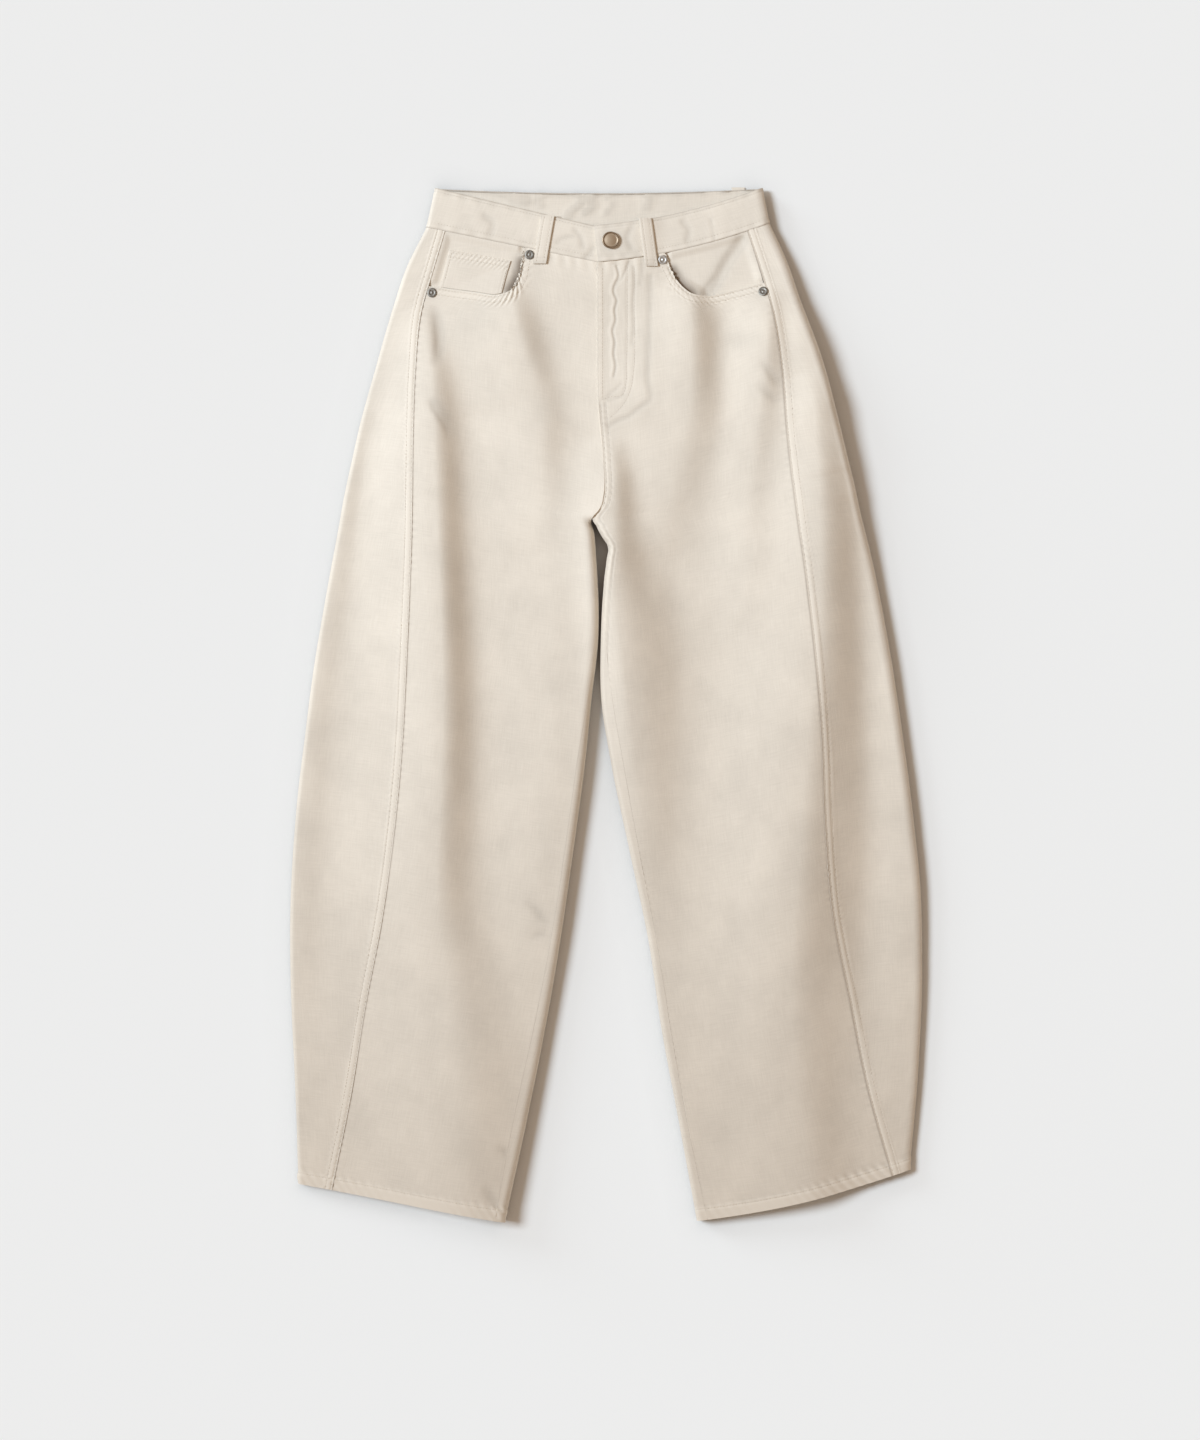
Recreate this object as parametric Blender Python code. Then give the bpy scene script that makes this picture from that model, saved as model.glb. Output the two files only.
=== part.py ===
"""Barrel leg trousers in heavy cotton twill, laid flat with the front up.

The tables and sizes are in millimetres, and Blender's meshes in metres. X runs across, from the wearer's
right leg to the left one, +Y runs up the garment to the waist, and Z up from the surface it lies on. Each
leg is a soft flat tube: the front panel is the top, and the back panel starts at a seam on top, rolls round
the outer edge, lies flat on the surface and rolls up round the inner edge to the inseam.
"""

import math
from collections import namedtuple

import bmesh
import bpy
import numpy as np
from mathutils import Vector

MM = 0.001

# Cloth and trim
CLOTH = 1.4
HEM_WALL = 3.0
HEM_DEPTH = 13.0
BAND_WALL = 3.0
BAND_PROUD = 0.8
BAND_REST = 1.7
LOOP_WALL = 1.9
BACK_LOOP_WALL = 1.3
LOOP_WIDTH = 13.0
ZIP_WALL = 1.2
ZIP_WIDTH = 24.0
SEAM_GAP = 0.4
LAYER_GAP = 0.35
RIVET_WIDTH = 9.5
BUTTON_WIDTH = 17.0

# The lowest that the top's outer face comes down to the back panel under it, and how softly it settles there
LOWEST_TOP = 5.2
SETTLE = 2.0

# How far the left front is lifted by the layers under the fly, and where that lift ends
FLY_LIFT = CLOTH + LAYER_GAP
BAND_LIFT = BAND_WALL + LAYER_GAP
FLY_LIFT_ENDS = (30.0, 62.0)
FLY_FOOT = (250.0, 300.0)
CROTCH_Y = 159.0
FLY_EDGE_X = -7.0

# One row for each section of a leg. inner_y is where the section meets the centre seam or the inner edge, and
# the section climbs from there to the outer edge. outer, seam and inner are where it crosses the outer edge,
# the outer seam and the centre seam or inner edge. inset is how far in from the inner edge the inseam shows.
# rim, middle and inside are the heights of the top at the outer edge, halfway across and at the inner edge.
Section = namedtuple("Section", "inner_y outer seam inner inset rim middle inside")
RIGHT_SECTIONS = (
    Section(442, -179.0, -160.0, -7.0, 0.0, 11, 9.5, 9.5),
    Section(404, -198.0, -171.5, -7.0, 0.0, 11, 9.5, 10),
    Section(364, -211.5, -183.0, -7.0, 0.0, 10.5, 9.0, 10),
    Section(304, -229.0, -189.0, -6.5, 0.0, 9.5, 8.5, 10),
    Section(244, -245.5, -191.0, -2.0, 0.0, 9.5, 8.5, 12),
    Section(206, -254.0, -191.5, -1.8, 0.0, 9.5, 8.5, 14),
    Section(197, -256.1, -191.6, -4.0, 0.0, 9.5, 8.5, 15),
    Section(191, -257.4, -191.6, -8.0, 0.0, 9.5, 8.5, 16),
    Section(186, -258.5, -191.7, -12.8, 0.0, 9.5, 8.5, 17),
    Section(171, -261.6, -191.9, -10.8, 0.0, 9.5, 8.5, 17),
    Section(144, -266.4, -192.4, -8.6, 0.0, 9.5, 8.5, 17),
    Section(64, -281.0, -195.4, -6.7, 0.0, 9.5, 8.0, 17),
    Section(4, -291.0, -198.2, -13.5, 4.0, 9.5, 7.5, 17),
    Section(-56, -299.0, -201.3, -19.5, 8.0, 9.5, 7.5, 17),
    Section(-146, -309.5, -209.4, -31.5, 8.5, 9.5, 7.5, 16),
    Section(-236, -315.0, -221.6, -44.5, 9.5, 9, 8.0, 16),
    Section(-326, -314.6, -238.6, -60.0, 11.5, 9, 8.5, 15),
    Section(-416, -310.6, -253.0, -78.0, 13.0, 9, 9.0, 14),
    Section(-518, -307.0, -273.0, -100.0, 10.0, 9, 9.5, 13),
)
LEFT_SECTIONS = (
    Section(442, 165.0, 142.0, -7.0, 0.0, 14, 9.5, 9.5),
    Section(404, 182.0, 154.5, -7.0, 0.0, 18, 9.5, 10),
    Section(364, 195.6, 166.0, -7.0, 0.0, 22, 9.0, 10),
    Section(304, 217.5, 176.0, -6.5, 0.0, 24, 9.0, 10),
    Section(244, 233.4, 181.0, -2.0, 0.0, 22, 8.5, 12),
    Section(206, 242.5, 185.0, -1.8, 0.0, 21, 8.5, 13),
    Section(197, 244.7, 186.0, -4.0, 0.0, 21, 8.5, 14),
    Section(191, 246.2, 186.9, -8.0, 0.0, 20, 8.5, 14),
    Section(186, 247.5, 187.5, -12.8, 0.0, 20, 8.5, 14),
    Section(178, 249.5, 188.5, -8.6, 0.0, 20, 8.5, 14),
    Section(170, 251.2, 189.6, -4.6, 0.0, 20, 8.5, 14),
    Section(157, 253.9, 191.3, 3.2, 0.0, 19, 8.5, 14),
    Section(144, 256.8, 193.0, 1.8, 0.0, 19, 8.5, 14),
    Section(124, 262.0, 196.0, -0.7, 0.0, 19, 8.5, 14),
    Section(64, 275.2, 203.6, -4.2, 5.0, 18, 7.5, 14),
    Section(4, 286.0, 210.0, -3.7, 11.0, 18, 7.0, 14),
    Section(-56, 295.2, 215.0, 5.5, 12.0, 17, 7.0, 13),
    Section(-146, 307.2, 219.0, 24.3, 9.5, 16, 7.5, 12),
    Section(-236, 316.0, 227.0, 43.3, 8.0, 14, 8.0, 11),
    Section(-326, 317.6, 244.0, 56.7, 9.0, 12, 8.5, 11),
    Section(-416, 313.8, 261.5, 73.5, 8.0, 10.5, 9.0, 11),
    Section(-517, 305.4, 287.0, 92.0, 10.5, 9.5, 9.5, 11),
)

# A fold is a ridge, or a trough where its heights are below zero. Each point of its path is x, y and height,
# then how far it falls away on its -X side and on its +X side.
FOLDS = {
    "long crease, right leg": (
        (-184, 400, 0, 22, 10), (-180, 372, 5, 26, 13), (-175, 334, 11, 34, 18), (-172, 304, 14.5, 44, 20),
        (-170, 244, 18.5, 54, 22), (-167, 164, 21, 58, 23), (-163, 64, 21.5, 60, 24), (-162, -16, 21.5, 62, 26),
        (-165, -96, 20.5, 66, 28), (-168, -196, 20, 70, 33), (-158, -276, 17, 76, 43), (-150, -346, 17, 80, 50),
        (-146, -426, 15.5, 84, 52), (-146, -520, 13, 84, 52)),
    "hip dome, right": (
        (-108, 436, 0, 50, 14), (-100, 416, 4, 56, 16), (-92, 392, 9, 60, 18), (-86, 368, 10, 60, 19),
        (-76, 334, 8, 58, 22), (-66, 304, 6, 54, 24), (-64, 254, 6, 50, 24), (-62, 204, 4, 50, 24),
        (-60, 150, 0, 50, 26)),
    "pocket to crotch, right": (
        (-64, 396, 0, 14, 30), (-50, 350, -2.5, 18, 34), (-41, 304, -3, 20, 40), (-37, 258, -3, 20, 44),
        (-34, 212, -1.5, 20, 44), (-34, 170, 0, 20, 44)),
    "outer valley, right leg": (
        (-214, 320, 0, 12, 16), (-234, 264, -3, 12, 18), (-243, 204, -4, 12, 20), (-252, 124, -4, 14, 22),
        (-262, 44, -4, 16, 24), (-270, -56, -4, 18, 26), (-278, -156, -3, 18, 26), (-284, -256, -2, 18, 26),
        (-284, -340, 0, 18, 26)),
    "inner knee, right leg": (
        (-60, 150, 0, 60, 30), (-58, 60, 2, 60, 30), (-62, -60, 3, 60, 34), (-76, -200, 3, 60, 34),
        (-96, -330, 1, 60, 40), (-110, -430, 0, 60, 40)),
    "pocket ridge, left": (
        (94, 420, 0, 26, 14), (86, 404, 9, 32, 18), (85, 374, 13, 46, 21), (85, 334, 13, 56, 22),
        (84, 304, 11.5, 58, 24), (77, 264, 8, 54, 28), (68, 224, 7, 44, 30), (62, 184, 4, 34, 30),
        (58, 140, 0, 34, 30)),
    "pocket trough, left": (
        (118, 414, 0, 14, 20), (120, 380, -3, 16, 24), (122, 334, -3, 16, 26), (122, 290, -2.5, 16, 26),
        (114, 240, -2, 20, 30), (102, 200, 0, 20, 34)),
    "side ridge, left": (
        (158, 420, 0, 20, 14), (160, 404, 4, 26, 14), (161, 374, 9, 30, 15), (158, 334, 9, 34, 18),
        (154, 304, 9, 34, 20), (148, 264, 8, 34, 21), (144, 224, 7, 32, 22), (141, 184, 6, 30, 24),
        (140, 144, 5, 30, 24), (138, 100, 2.5, 30, 26), (136, 50, 0, 30, 26)),
    "hip edge, left": (
        (184, 404, 0, 10, 18), (194, 374, 3, 14, 18), (202, 334, 3, 16, 20), (209, 304, 3, 18, 20)),
    "inner thigh, left leg": (
        (4, 270, 0, 30, 12), (6, 246, 6, 38, 14), (8, 222, 11, 40, 16), (8, 184, 13, 34, 20),
        (9, 144, 16, 26, 26), (12, 104, 16, 24, 35), (16, 64, 16, 24, 44), (24, 4, 14.5, 26, 48),
        (32, -56, 11, 28, 46), (41, -116, 7, 30, 38), (50, -176, 2.5, 30, 36), (60, -246, 0, 30, 40)),
    "knee valley, left leg": (
        (86, 220, 0, 24, 50), (84, 144, -3, 28, 60), (84, 64, -4, 30, 70), (80, -16, -4, 30, 70),
        (76, -96, -3, 30, 70), (80, -176, -2, 30, 70), (88, -256, 0, 30, 70)),
    "outer ridge, left leg": (
        (196, 330, 0, 24, 18), (206, 304, 6, 30, 20), (210, 264, 11, 38, 22), (212, 224, 17, 44, 25),
        (214, 184, 20, 52, 28), (214, 144, 21, 58, 29), (213, 104, 21, 64, 31), (210, 44, 22, 70, 34),
        (204, -16, 22.5, 76, 37), (197, -96, 22.5, 80, 41), (189, -196, 22.5, 80, 43), (186, -246, 21, 80, 44),
        (186, -296, 19, 80, 45), (188, -346, 16.5, 80, 44), (193, -396, 14.5, 80, 41),
        (199, -446, 12.5, 80, 38), (204, -520, 10.5, 80, 36)),
    "outer trough, left leg": (
        (236, 300, 0, 12, 14), (248, 244, -2, 14, 18), (256, 164, -3, 16, 22), (262, 64, -4, 18, 24),
        (266, -36, -5, 20, 26), (268, -136, -5, 22, 26), (264, -236, -4, 22, 28), (262, -316, -2, 22, 28),
        (262, -396, 0, 22, 24)),
}

# Curved pocket mouths, from the outer seam to the waist seam
RIGHT_MOUTH = ((-174.5, 418), (-130, 411.5), (-107, 409), (-94, 414), (-86.7, 426), (-83, 442), (-81.5, 456.5))
LEFT_MOUTH = ((160.0, 421), (127, 412.7), (101, 408), (86, 410.6), (75.8, 419), (66.6, 433), (61, 450.5))
FACING_UNDERLAP = 9.0
FACING_DROP = 1.3
MOUTH_SHARE = 0.56

# Waistband: each end of its front top edge, and the middle of its back one
BAND_TOP_SIDE_Y = 516.5
BAND_TOP_RIGHT_X = -170.5
BAND_TOP_LEFT_X = 158.0
BAND_TOP_CENTRE = (-11.0, 478.5)
BACK_DIP = 4.5
BACK_WAIST_Y = 474.5
UNDERLAP_X = 28.0

# Belt loops on the front, as the middles of their top and bottom ends, and those on the back by their middle
FRONT_LOOPS = {
    "belt_loop_front_r": ((-57.0, 489.0), (-65.5, 440.5)),
    "belt_loop_front_l": ((40.0, 486.0), (46.5, 438.0)),
}
BACK_LOOPS = {
    "belt_loop_back_r": (-128.0, 514.5),
    "belt_loop_back_c": (0.0, 510.5),
    "belt_loop_back_l": (133.5, 518.0),
}

# Coin pocket corners on the right facing: top outer, top inner, and how its sides lean going down
COIN_TOP = ((-156.0, 454.0), (-94.5, 443.5))
COIN_LEAN = -9.0

RIVETS = {
    "rivet_outer_r": (-173.0, 411.5),
    "rivet_inner_r": (-75.5, 449.5),
    "rivet_inner_l": (58.0, 444.5),
    "rivet_outer_l": (158.0, 412.0),
}
BUTTON_AT = (5.5, 463.5)

ECRU = (0.80, 0.74, 0.66, 1.0)
ANTIQUE_BRASS = (0.45, 0.36, 0.26, 1.0)
GUN_METAL = (0.30, 0.28, 0.26, 1.0)

# How far apart the rows of a panel's grid are: on the leg, and on the hip, where the pocket needs them closer
LEG_ROWS = 42.0
HIP_ROWS = 19.0
HIP_Y = 300.0


def smooth(edge_from, edge_to, value):
    """0 before edge_from, 1 past edge_to, and an even S between them. edge_from may be the larger."""
    share = np.clip((np.asarray(value, float) - edge_from) / (edge_to - edge_from), 0, 1)
    return share * share * (3 - 2 * share)


def curve_through(keys, values):
    """A smooth curve through values at increasing keys, held level past its ends."""
    keys, values = np.asarray(keys, float), np.asarray(values, float)
    slopes = np.gradient(values, keys)

    def at(key):
        key = np.clip(key, keys[0], keys[-1])
        i = np.clip(np.searchsorted(keys, key, side="right") - 1, 0, len(keys) - 2)
        span = keys[i + 1] - keys[i]
        t = (key - keys[i]) / span
        return (
            values[i] * (1 + 2 * t) * (1 - t) ** 2
            + values[i + 1] * t * t * (3 - 2 * t)
            + slopes[i] * span * t * (1 - t) ** 2
            - slopes[i + 1] * span * t * t * (1 - t)
        )

    return at


def along(points, spacing=2.0):
    """Closely spaced points on a smooth curve through points."""
    points = np.asarray(points, float)
    reach = np.concatenate([[0], np.cumsum(np.linalg.norm(np.diff(points[:, :2], axis=0), axis=1))])
    where = np.linspace(0, reach[-1], int(reach[-1] / spacing) + 2)
    return np.column_stack([curve_through(reach, column)(where) for column in points.T])


FOLD_LINES = [along(path, 6.0) for path in FOLDS.values()]


def nearest_on(line, x, y):
    """For each x, y: the distance to line, where along it the nearest point lies, as an index with a fraction,
    and the X offset from that point."""
    dx = x[..., None] - line[:, 0]
    dy = y[..., None] - line[:, 1]
    index = np.argmin(dx * dx + dy * dy, axis=-1)
    step_x, step_y = np.gradient(line[:, :2], axis=0)[index].T
    step_x, step_y = step_x.T, step_y.T
    dx = x - line[index, 0]
    dy = y - line[index, 1]
    ahead = np.clip((dx * step_x + dy * step_y) / (step_x ** 2 + step_y ** 2), -0.5, 0.5)
    place = np.clip(index + ahead, 0, len(line) - 1)
    dx = dx - (place - index) * step_x
    dy = dy - (place - index) * step_y
    return np.hypot(dx, dy), place, dx


def fold_height(x, y):
    """What the folds add to the top's height at x, y."""
    x, y = np.broadcast_arrays(np.asarray(x, float), np.asarray(y, float))
    total = np.zeros(x.shape)
    for line in FOLD_LINES:
        reach = 2.6 * line[:, 3:].max()
        low, high = line[:, :2].min(0) - reach, line[:, :2].max(0) + reach
        if x.max() < low[0] or x.min() > high[0] or y.max() < low[1] or y.min() > high[1]:
            continue
        away, place, side = nearest_on(line, x, y)
        height, near, far = [np.interp(place, np.arange(len(line)), column) for column in line.T[2:]]
        total += height * np.exp(-((away / np.where(side < 0, near, far)) ** 2))
    return total


class Half:
    """One half of the garment: its sections, and where points of its panels lie.

    outer_roll and inner_roll are how wide the soft rolls along the leg's edges are, seen from above.
    """

    def __init__(self, sections, toward_centre, slant_waist, slant_hem, bow, closes, outer_roll, inner_roll, mouth):
        rising = sections[::-1]
        keys = [s.inner_y for s in rising]
        self.hem_y, self.waist_y = keys[0], keys[-1]
        self.column = {
            name: curve_through(keys, [getattr(s, name) for s in rising])
            for name in ("outer", "seam", "inner", "inset", "rim", "middle", "inside")
        }
        self.stations = keys
        self.toward_centre = toward_centre
        self.slants = (slant_waist, slant_hem)
        self.bow = bow
        self.closes = closes
        self.outer_roll = outer_roll
        self.roll = inner_roll
        seam_x = float(self.column["seam"](self.row_at(*mouth[0]))) + toward_centre * SEAM_GAP / 2
        self.mouth = ((seam_x, mouth[0][1]),) + mouth[1:]
        self.mouth_line = along(self.mouth)

    def slant(self, row):
        share = (self.waist_y - row) / (self.waist_y - self.hem_y)
        return self.slants[0] + (self.slants[1] - self.slants[0]) * share

    def across(self, row, x):
        """The share of the way from the outer edge to the inner one."""
        outer = self.column["outer"](row)
        return (x - outer) / (self.column["inner"](row) - outer)

    def front_y(self, row, x):
        share = np.clip(self.across(row, x), 0, 1)
        return row + self.slant(row) * (1 - share) - self.bow * 4 * share * (1 - share)

    def back_y(self, row, x):
        """The back rises higher than the front above the crotch, and meets it at the outer edge."""
        rise = (BACK_WAIST_Y - self.waist_y) * smooth(CROTCH_Y, self.waist_y, row)
        share = np.clip(self.across(row, x), 0, 1)
        return row + rise + (self.slant(row) - rise) * (1 - share)

    def row_at(self, x, y):
        """The section whose front passes through x, y."""
        row = np.asarray(y, float) * 1.0
        for _ in range(4):
            row = np.clip(row + y - self.front_y(row, x), self.hem_y, self.waist_y)
        return row

    def base_height(self, row, x):
        share = np.clip(self.across(row, x), 0, 1)
        return (
            self.column["rim"](row) * 2 * (share - 0.5) * (share - 1)
            + self.column["middle"](row) * 4 * share * (1 - share)
            + self.column["inside"](row) * 2 * share * (share - 0.5)
        )

    def top(self, x, y):
        """The height of the cloth's outer face at x, y."""
        free = self.base_height(self.row_at(x, y), x) + fold_height(x, y) - LOWEST_TOP
        return LOWEST_TOP + (free + np.sqrt(free * free + SETTLE * SETTLE)) / 2 + self.fly_lift(x, y)

    def fly_lift(self, x, y):
        if self.toward_centre > 0:
            return 0.0
        return FLY_LIFT * smooth(FLY_LIFT_ENDS[1], FLY_LIFT_ENDS[0], x) * smooth(*FLY_FOOT, y)

    def on_top(self, row, x):
        y = self.front_y(row, x)
        return np.array([x, y, self.top(x, y)], float)

    def closed(self, row):
        """0 above the crotch, where the halves meet, and 1 on the leg, where its inner edge rolls over."""
        return float(smooth(self.closes[0], self.closes[1], row))

    def inseam_reach(self, row):
        """How far the inseam lies past the inner edge's outermost line, along the cloth and up over the top."""
        inset = float(self.column["inset"](row))
        if inset < self.roll:
            return self.roll * math.acos(1 - max(inset, 0) / self.roll)
        return self.roll * math.pi / 2 + inset - self.roll

    def rolled_edge(self, row, reach):
        """A point on the leg's inner edge, by its distance along the cloth from the outermost line, upwards."""
        d = self.toward_centre
        edge = float(self.column["inner"](row))
        quarter = self.roll * math.pi / 2
        if reach >= quarter:
            return self.on_top(row, edge - d * (self.roll + reach - quarter))
        x_centre = edge - d * self.roll
        half = self.on_top(row, x_centre)[2] / 2
        angle = max(reach / self.roll, -math.pi / 2)
        x = x_centre + d * self.roll * math.cos(angle)
        return np.array([x, self.front_y(row, x), half + half * math.sin(angle)])

    def front_point(self, row, share):
        """A point of the front panel: share runs from the outer seam to the centre seam or inseam."""
        d = self.toward_centre
        start = float(self.column["seam"](row)) + d * SEAM_GAP / 2
        edge = float(self.column["inner"](row))
        opened = self.on_top(row, start + share * (edge - d * SEAM_GAP / 2 - start))
        if self.closed(row) == 0:
            return opened
        flat = abs(edge - start) - self.roll
        total = flat + self.roll * math.pi / 2 - self.inseam_reach(row) - SEAM_GAP / 2
        walked = share * total
        if walked <= flat:
            rolled = self.on_top(row, start + d * walked)
        else:
            rolled = self.rolled_edge(row, self.roll * math.pi / 2 - (walked - flat))
        return opened + (rolled - opened) * self.closed(row)

    def mouth_point(self, share):
        """A point on the front panel's top edge: first the pocket mouth, then the waist seam to the centre."""
        d = self.toward_centre
        if share <= MOUTH_SHARE:
            marks = np.linspace(0, MOUTH_SHARE, len(self.mouth_line))
            return np.array([np.interp(share, marks, column) for column in self.mouth_line.T])
        rest = (share - MOUTH_SHARE) / (1 - MOUTH_SHARE)
        start = self.mouth[-1][0]
        end = float(self.column["inner"](self.waist_y)) - d * SEAM_GAP / 2
        x = start + (end - start) * rest
        return np.array([x, float(self.front_y(self.waist_y, x)) - SEAM_GAP / 2])

    def front_panel_point(self, row, share, mouth_row):
        """As front_point, but the rows above mouth_row close up towards the pocket mouth and the waist seam."""
        if row <= mouth_row:
            return self.front_point(row, share)
        foot = self.front_point(mouth_row, share)
        head = self.mouth_point(share)
        climb = (row - mouth_row) / (self.waist_y - mouth_row)
        x, y = foot[:2] + (head - foot[:2]) * climb
        return np.array([x, y, self.top(x, y)])

    def leg_wall(self, row):
        return HEM_WALL if row <= self.hem_y + HEM_DEPTH else CLOTH

    def back_point(self, row, column):
        """A point of the back panel. A column's whole number is its stretch of the section, from the outer
        seam on: on top, round the outer edge, underneath, and round the inner edge. The rest is its share."""
        stretch = min(max(int(column), 0), 3)
        share = column - stretch
        d = self.toward_centre
        outer = float(self.column["outer"](row))
        seam = float(self.column["seam"](row)) - d * SEAM_GAP / 2
        roll_x = outer + d * self.outer_roll
        if stretch == 0:
            return self.on_top(row, seam + (roll_x - seam) * share)
        if stretch == 1:
            half = self.on_top(row, roll_x)[2] / 2
            angle = math.pi / 2 - math.pi * share
            x = roll_x - d * self.outer_roll * math.cos(angle)
            y_top, y_under = self.front_y(row, x), self.back_y(row, x)
            y = y_top + (y_under - y_top) * share
            return np.array([x, y, half + half * math.sin(angle)])
        edge = float(self.column["inner"](row))
        under_end = edge - d * self.roll
        if stretch == 2:
            x = roll_x + (under_end - roll_x) * share
            return np.array([x, self.back_y(row, x), 0.0])
        x = under_end + (edge - d * SEAM_GAP / 2 - under_end) * share
        opened = np.array([x, float(self.back_y(row, x)), 0.0])
        if self.closed(row) == 0:
            return opened
        total = self.roll * math.pi / 2 + self.inseam_reach(row) - SEAM_GAP / 2
        rolled = self.rolled_edge(row, share * total - self.roll * math.pi / 2)
        return opened + (rolled - opened) * self.closed(row)

    def rows(self):
        """Section rows from the hem to the waist seam: each table row, those between, and the hem's step."""
        found = []
        for low, high in zip(self.stations, self.stations[1:]):
            steps = max(1, round((high - low) / (LEG_ROWS if low < HIP_Y else HIP_ROWS)))
            found += [low + (high - low) * i / steps for i in range(steps)]
        found[1:1] = [self.hem_y + HEM_DEPTH, self.hem_y + HEM_DEPTH + 1.5]
        return found + [self.waist_y]


RIGHT = Half(RIGHT_SECTIONS, 1, 35.0, 38.0, 0.0, (187.0, 178.0), 4.0, 8.0, RIGHT_MOUTH)
LEFT = Half(LEFT_SECTIONS, -1, 39.0, 51.0, 6.0, (185.0, 172.0), 8.0, 5.0, LEFT_MOUTH)


def make_material(name, colour, roughness, metallic):
    material = bpy.data.materials.new(name)
    material.use_nodes = True
    shader = material.node_tree.nodes["Principled BSDF"]
    shader.inputs["Base Color"].default_value = colour
    shader.inputs["Roughness"].default_value = roughness
    shader.inputs["Metallic"].default_value = metallic
    material.diffuse_color = colour
    return material


def add_object(name, shape, material, angle=35):
    mesh = bpy.data.meshes.new(name)
    shape.to_mesh(mesh)
    shape.free()
    mesh.shade_smooth()
    mesh.set_sharp_from_angle(angle=math.radians(angle))
    mesh.materials.append(material)
    piece = bpy.data.objects.new(name, mesh)
    bpy.context.scene.collection.objects.link(piece)
    return piece


def outward(place, row, column, flip):
    """The direction straight out of the cloth at a point, kept within the section's own plane."""
    step = 0.02
    across = np.subtract(place(row, column + step), place(row, column - step))
    up = np.subtract(place(row + step, column), place(row - step, column))
    normal = np.cross(across, up) * (-1 if flip else 1)
    normal[1] = 0.0
    return normal / np.linalg.norm(normal)


def wall(name, columns, rows, place, thickness, material, flip=False):
    """A wall of cloth: a grid whose points place() puts on the outer face, and a copy of it that is moved in.

    thickness is a size, or a function that gives one for each row. flip is for a grid whose columns run the
    other way round, so that it would face inwards.
    """
    shape = bmesh.new()
    across, down = len(columns) - 1, len(rows) - 1
    bmesh.ops.create_grid(shape, x_segments=across, y_segments=down, size=0.5)
    number = shape.verts.layers.int.new("number")
    inner = []
    for vert in shape.verts:
        row = rows[round((vert.co.y + 0.5) * down)]
        column = columns[round((vert.co.x + 0.5) * across)]
        outer = np.array(place(row, column), float)
        depth = thickness(row) if callable(thickness) else thickness
        vert[number] = len(inner)
        inner.append(Vector(outer - depth * outward(place, row, column, flip)) * MM)
        vert.co = Vector(outer) * MM
    moved = bmesh.ops.extrude_face_region(shape, geom=shape.faces[:], use_keep_orig=True)
    for vert in moved["geom"]:
        if isinstance(vert, bmesh.types.BMVert):
            vert.co = inner[vert[number]]
    bmesh.ops.recalc_face_normals(shape, faces=shape.faces)
    return add_object(name, shape, material)


def shares(count):
    return [i / count for i in range(count + 1)]


def front_panel(name, half, material):
    rows = half.rows()
    mouth_row = max(row for row in rows if row <= 364.0)

    def place(row, share):
        return half.front_panel_point(row, share, mouth_row)

    return wall(name, shares(24), rows, place, half.leg_wall, material, flip=half.toward_centre < 0)


def back_panel(name, half, material):
    segments = (7, 5, 4, 6)
    columns = [0.0]
    for stretch, count in enumerate(segments):
        columns += [stretch + share for share in shares(count)[1:]]

    def place(row, column):
        point = half.back_point(row, column)
        point[1] -= SEAM_GAP / 2 * smooth(half.waist_y - 10, half.waist_y, row)
        return point

    return wall(name, columns, half.rows(), place, half.leg_wall, material, flip=half.toward_centre > 0)


def pocket_facing(name, half, material):
    """The piece that shows in the pocket mouth. It runs on under the front panel past the mouth's edge."""
    d = half.toward_centre
    low = min(point[1] for point in half.mouth) - FACING_UNDERLAP
    inner = half.mouth[-1][0] + d * FACING_UNDERLAP

    def place(height, share):
        row = half.row_at(half.mouth[0][0], low)
        seam_low = float(half.column["seam"](row)) + d * SEAM_GAP
        seam_high = float(half.column["seam"](half.waist_y)) + d * SEAM_GAP
        outer = seam_low + (seam_high - seam_low) * height
        x = outer + (inner - outer) * share
        waist = float(half.front_y(half.waist_y, x)) - SEAM_GAP / 2
        y = low + (waist - low) * height
        return [x, y, float(half.top(x, y)) - CLOTH - FACING_DROP]

    return wall(name, shares(16), shares(9), place, CLOTH, material, flip=d < 0)


def coin_pocket(name, half, material):
    """A small patch on the right facing. Its foot ends just short of the pocket mouth's edge."""
    line = half.mouth_line

    def place(height, share):
        (x_outer, y_outer), (x_inner, y_inner) = COIN_TOP
        x = x_outer + (x_inner - x_outer) * share + COIN_LEAN * (1 - height)
        top = y_outer + (y_inner - y_outer) * share
        foot = float(np.interp(x, line[:, 0], line[:, 1])) + 1.2
        y = foot + (top - foot) * height
        return [x, y, float(half.top(x, y))]

    return wall(name, shares(10), shares(5), place, CLOTH, material)


def band_front_y(half, x, height):
    """Y on the waistband's front, from the waist seam at height 0 to its top edge at height 1."""
    low = float(half.front_y(half.waist_y, x)) + SEAM_GAP / 2
    side_x = BAND_TOP_RIGHT_X if half is RIGHT else BAND_TOP_LEFT_X
    share = np.clip((x - side_x) / (BAND_TOP_CENTRE[0] - side_x), 0, 1)
    high = BAND_TOP_SIDE_Y + (BAND_TOP_CENTRE[1] - BAND_TOP_SIDE_Y) * share
    high -= half.bow * 4 * share * (1 - share)
    return low + (float(high) - low) * height


def band_side_x(half, height):
    low = float(half.column["outer"](half.waist_y))
    high = BAND_TOP_RIGHT_X if half is RIGHT else BAND_TOP_LEFT_X
    return low + (high - low) * height


def band_lift(x):
    return BAND_LIFT * float(smooth(FLY_LIFT_ENDS[1], FLY_LIFT_ENDS[0], x))


def band_top(half, x):
    """The height of the waistband's outer face on the front, where nothing lies under it."""
    return float(half.base_height(half.waist_y, x)) + BAND_PROUD


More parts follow.
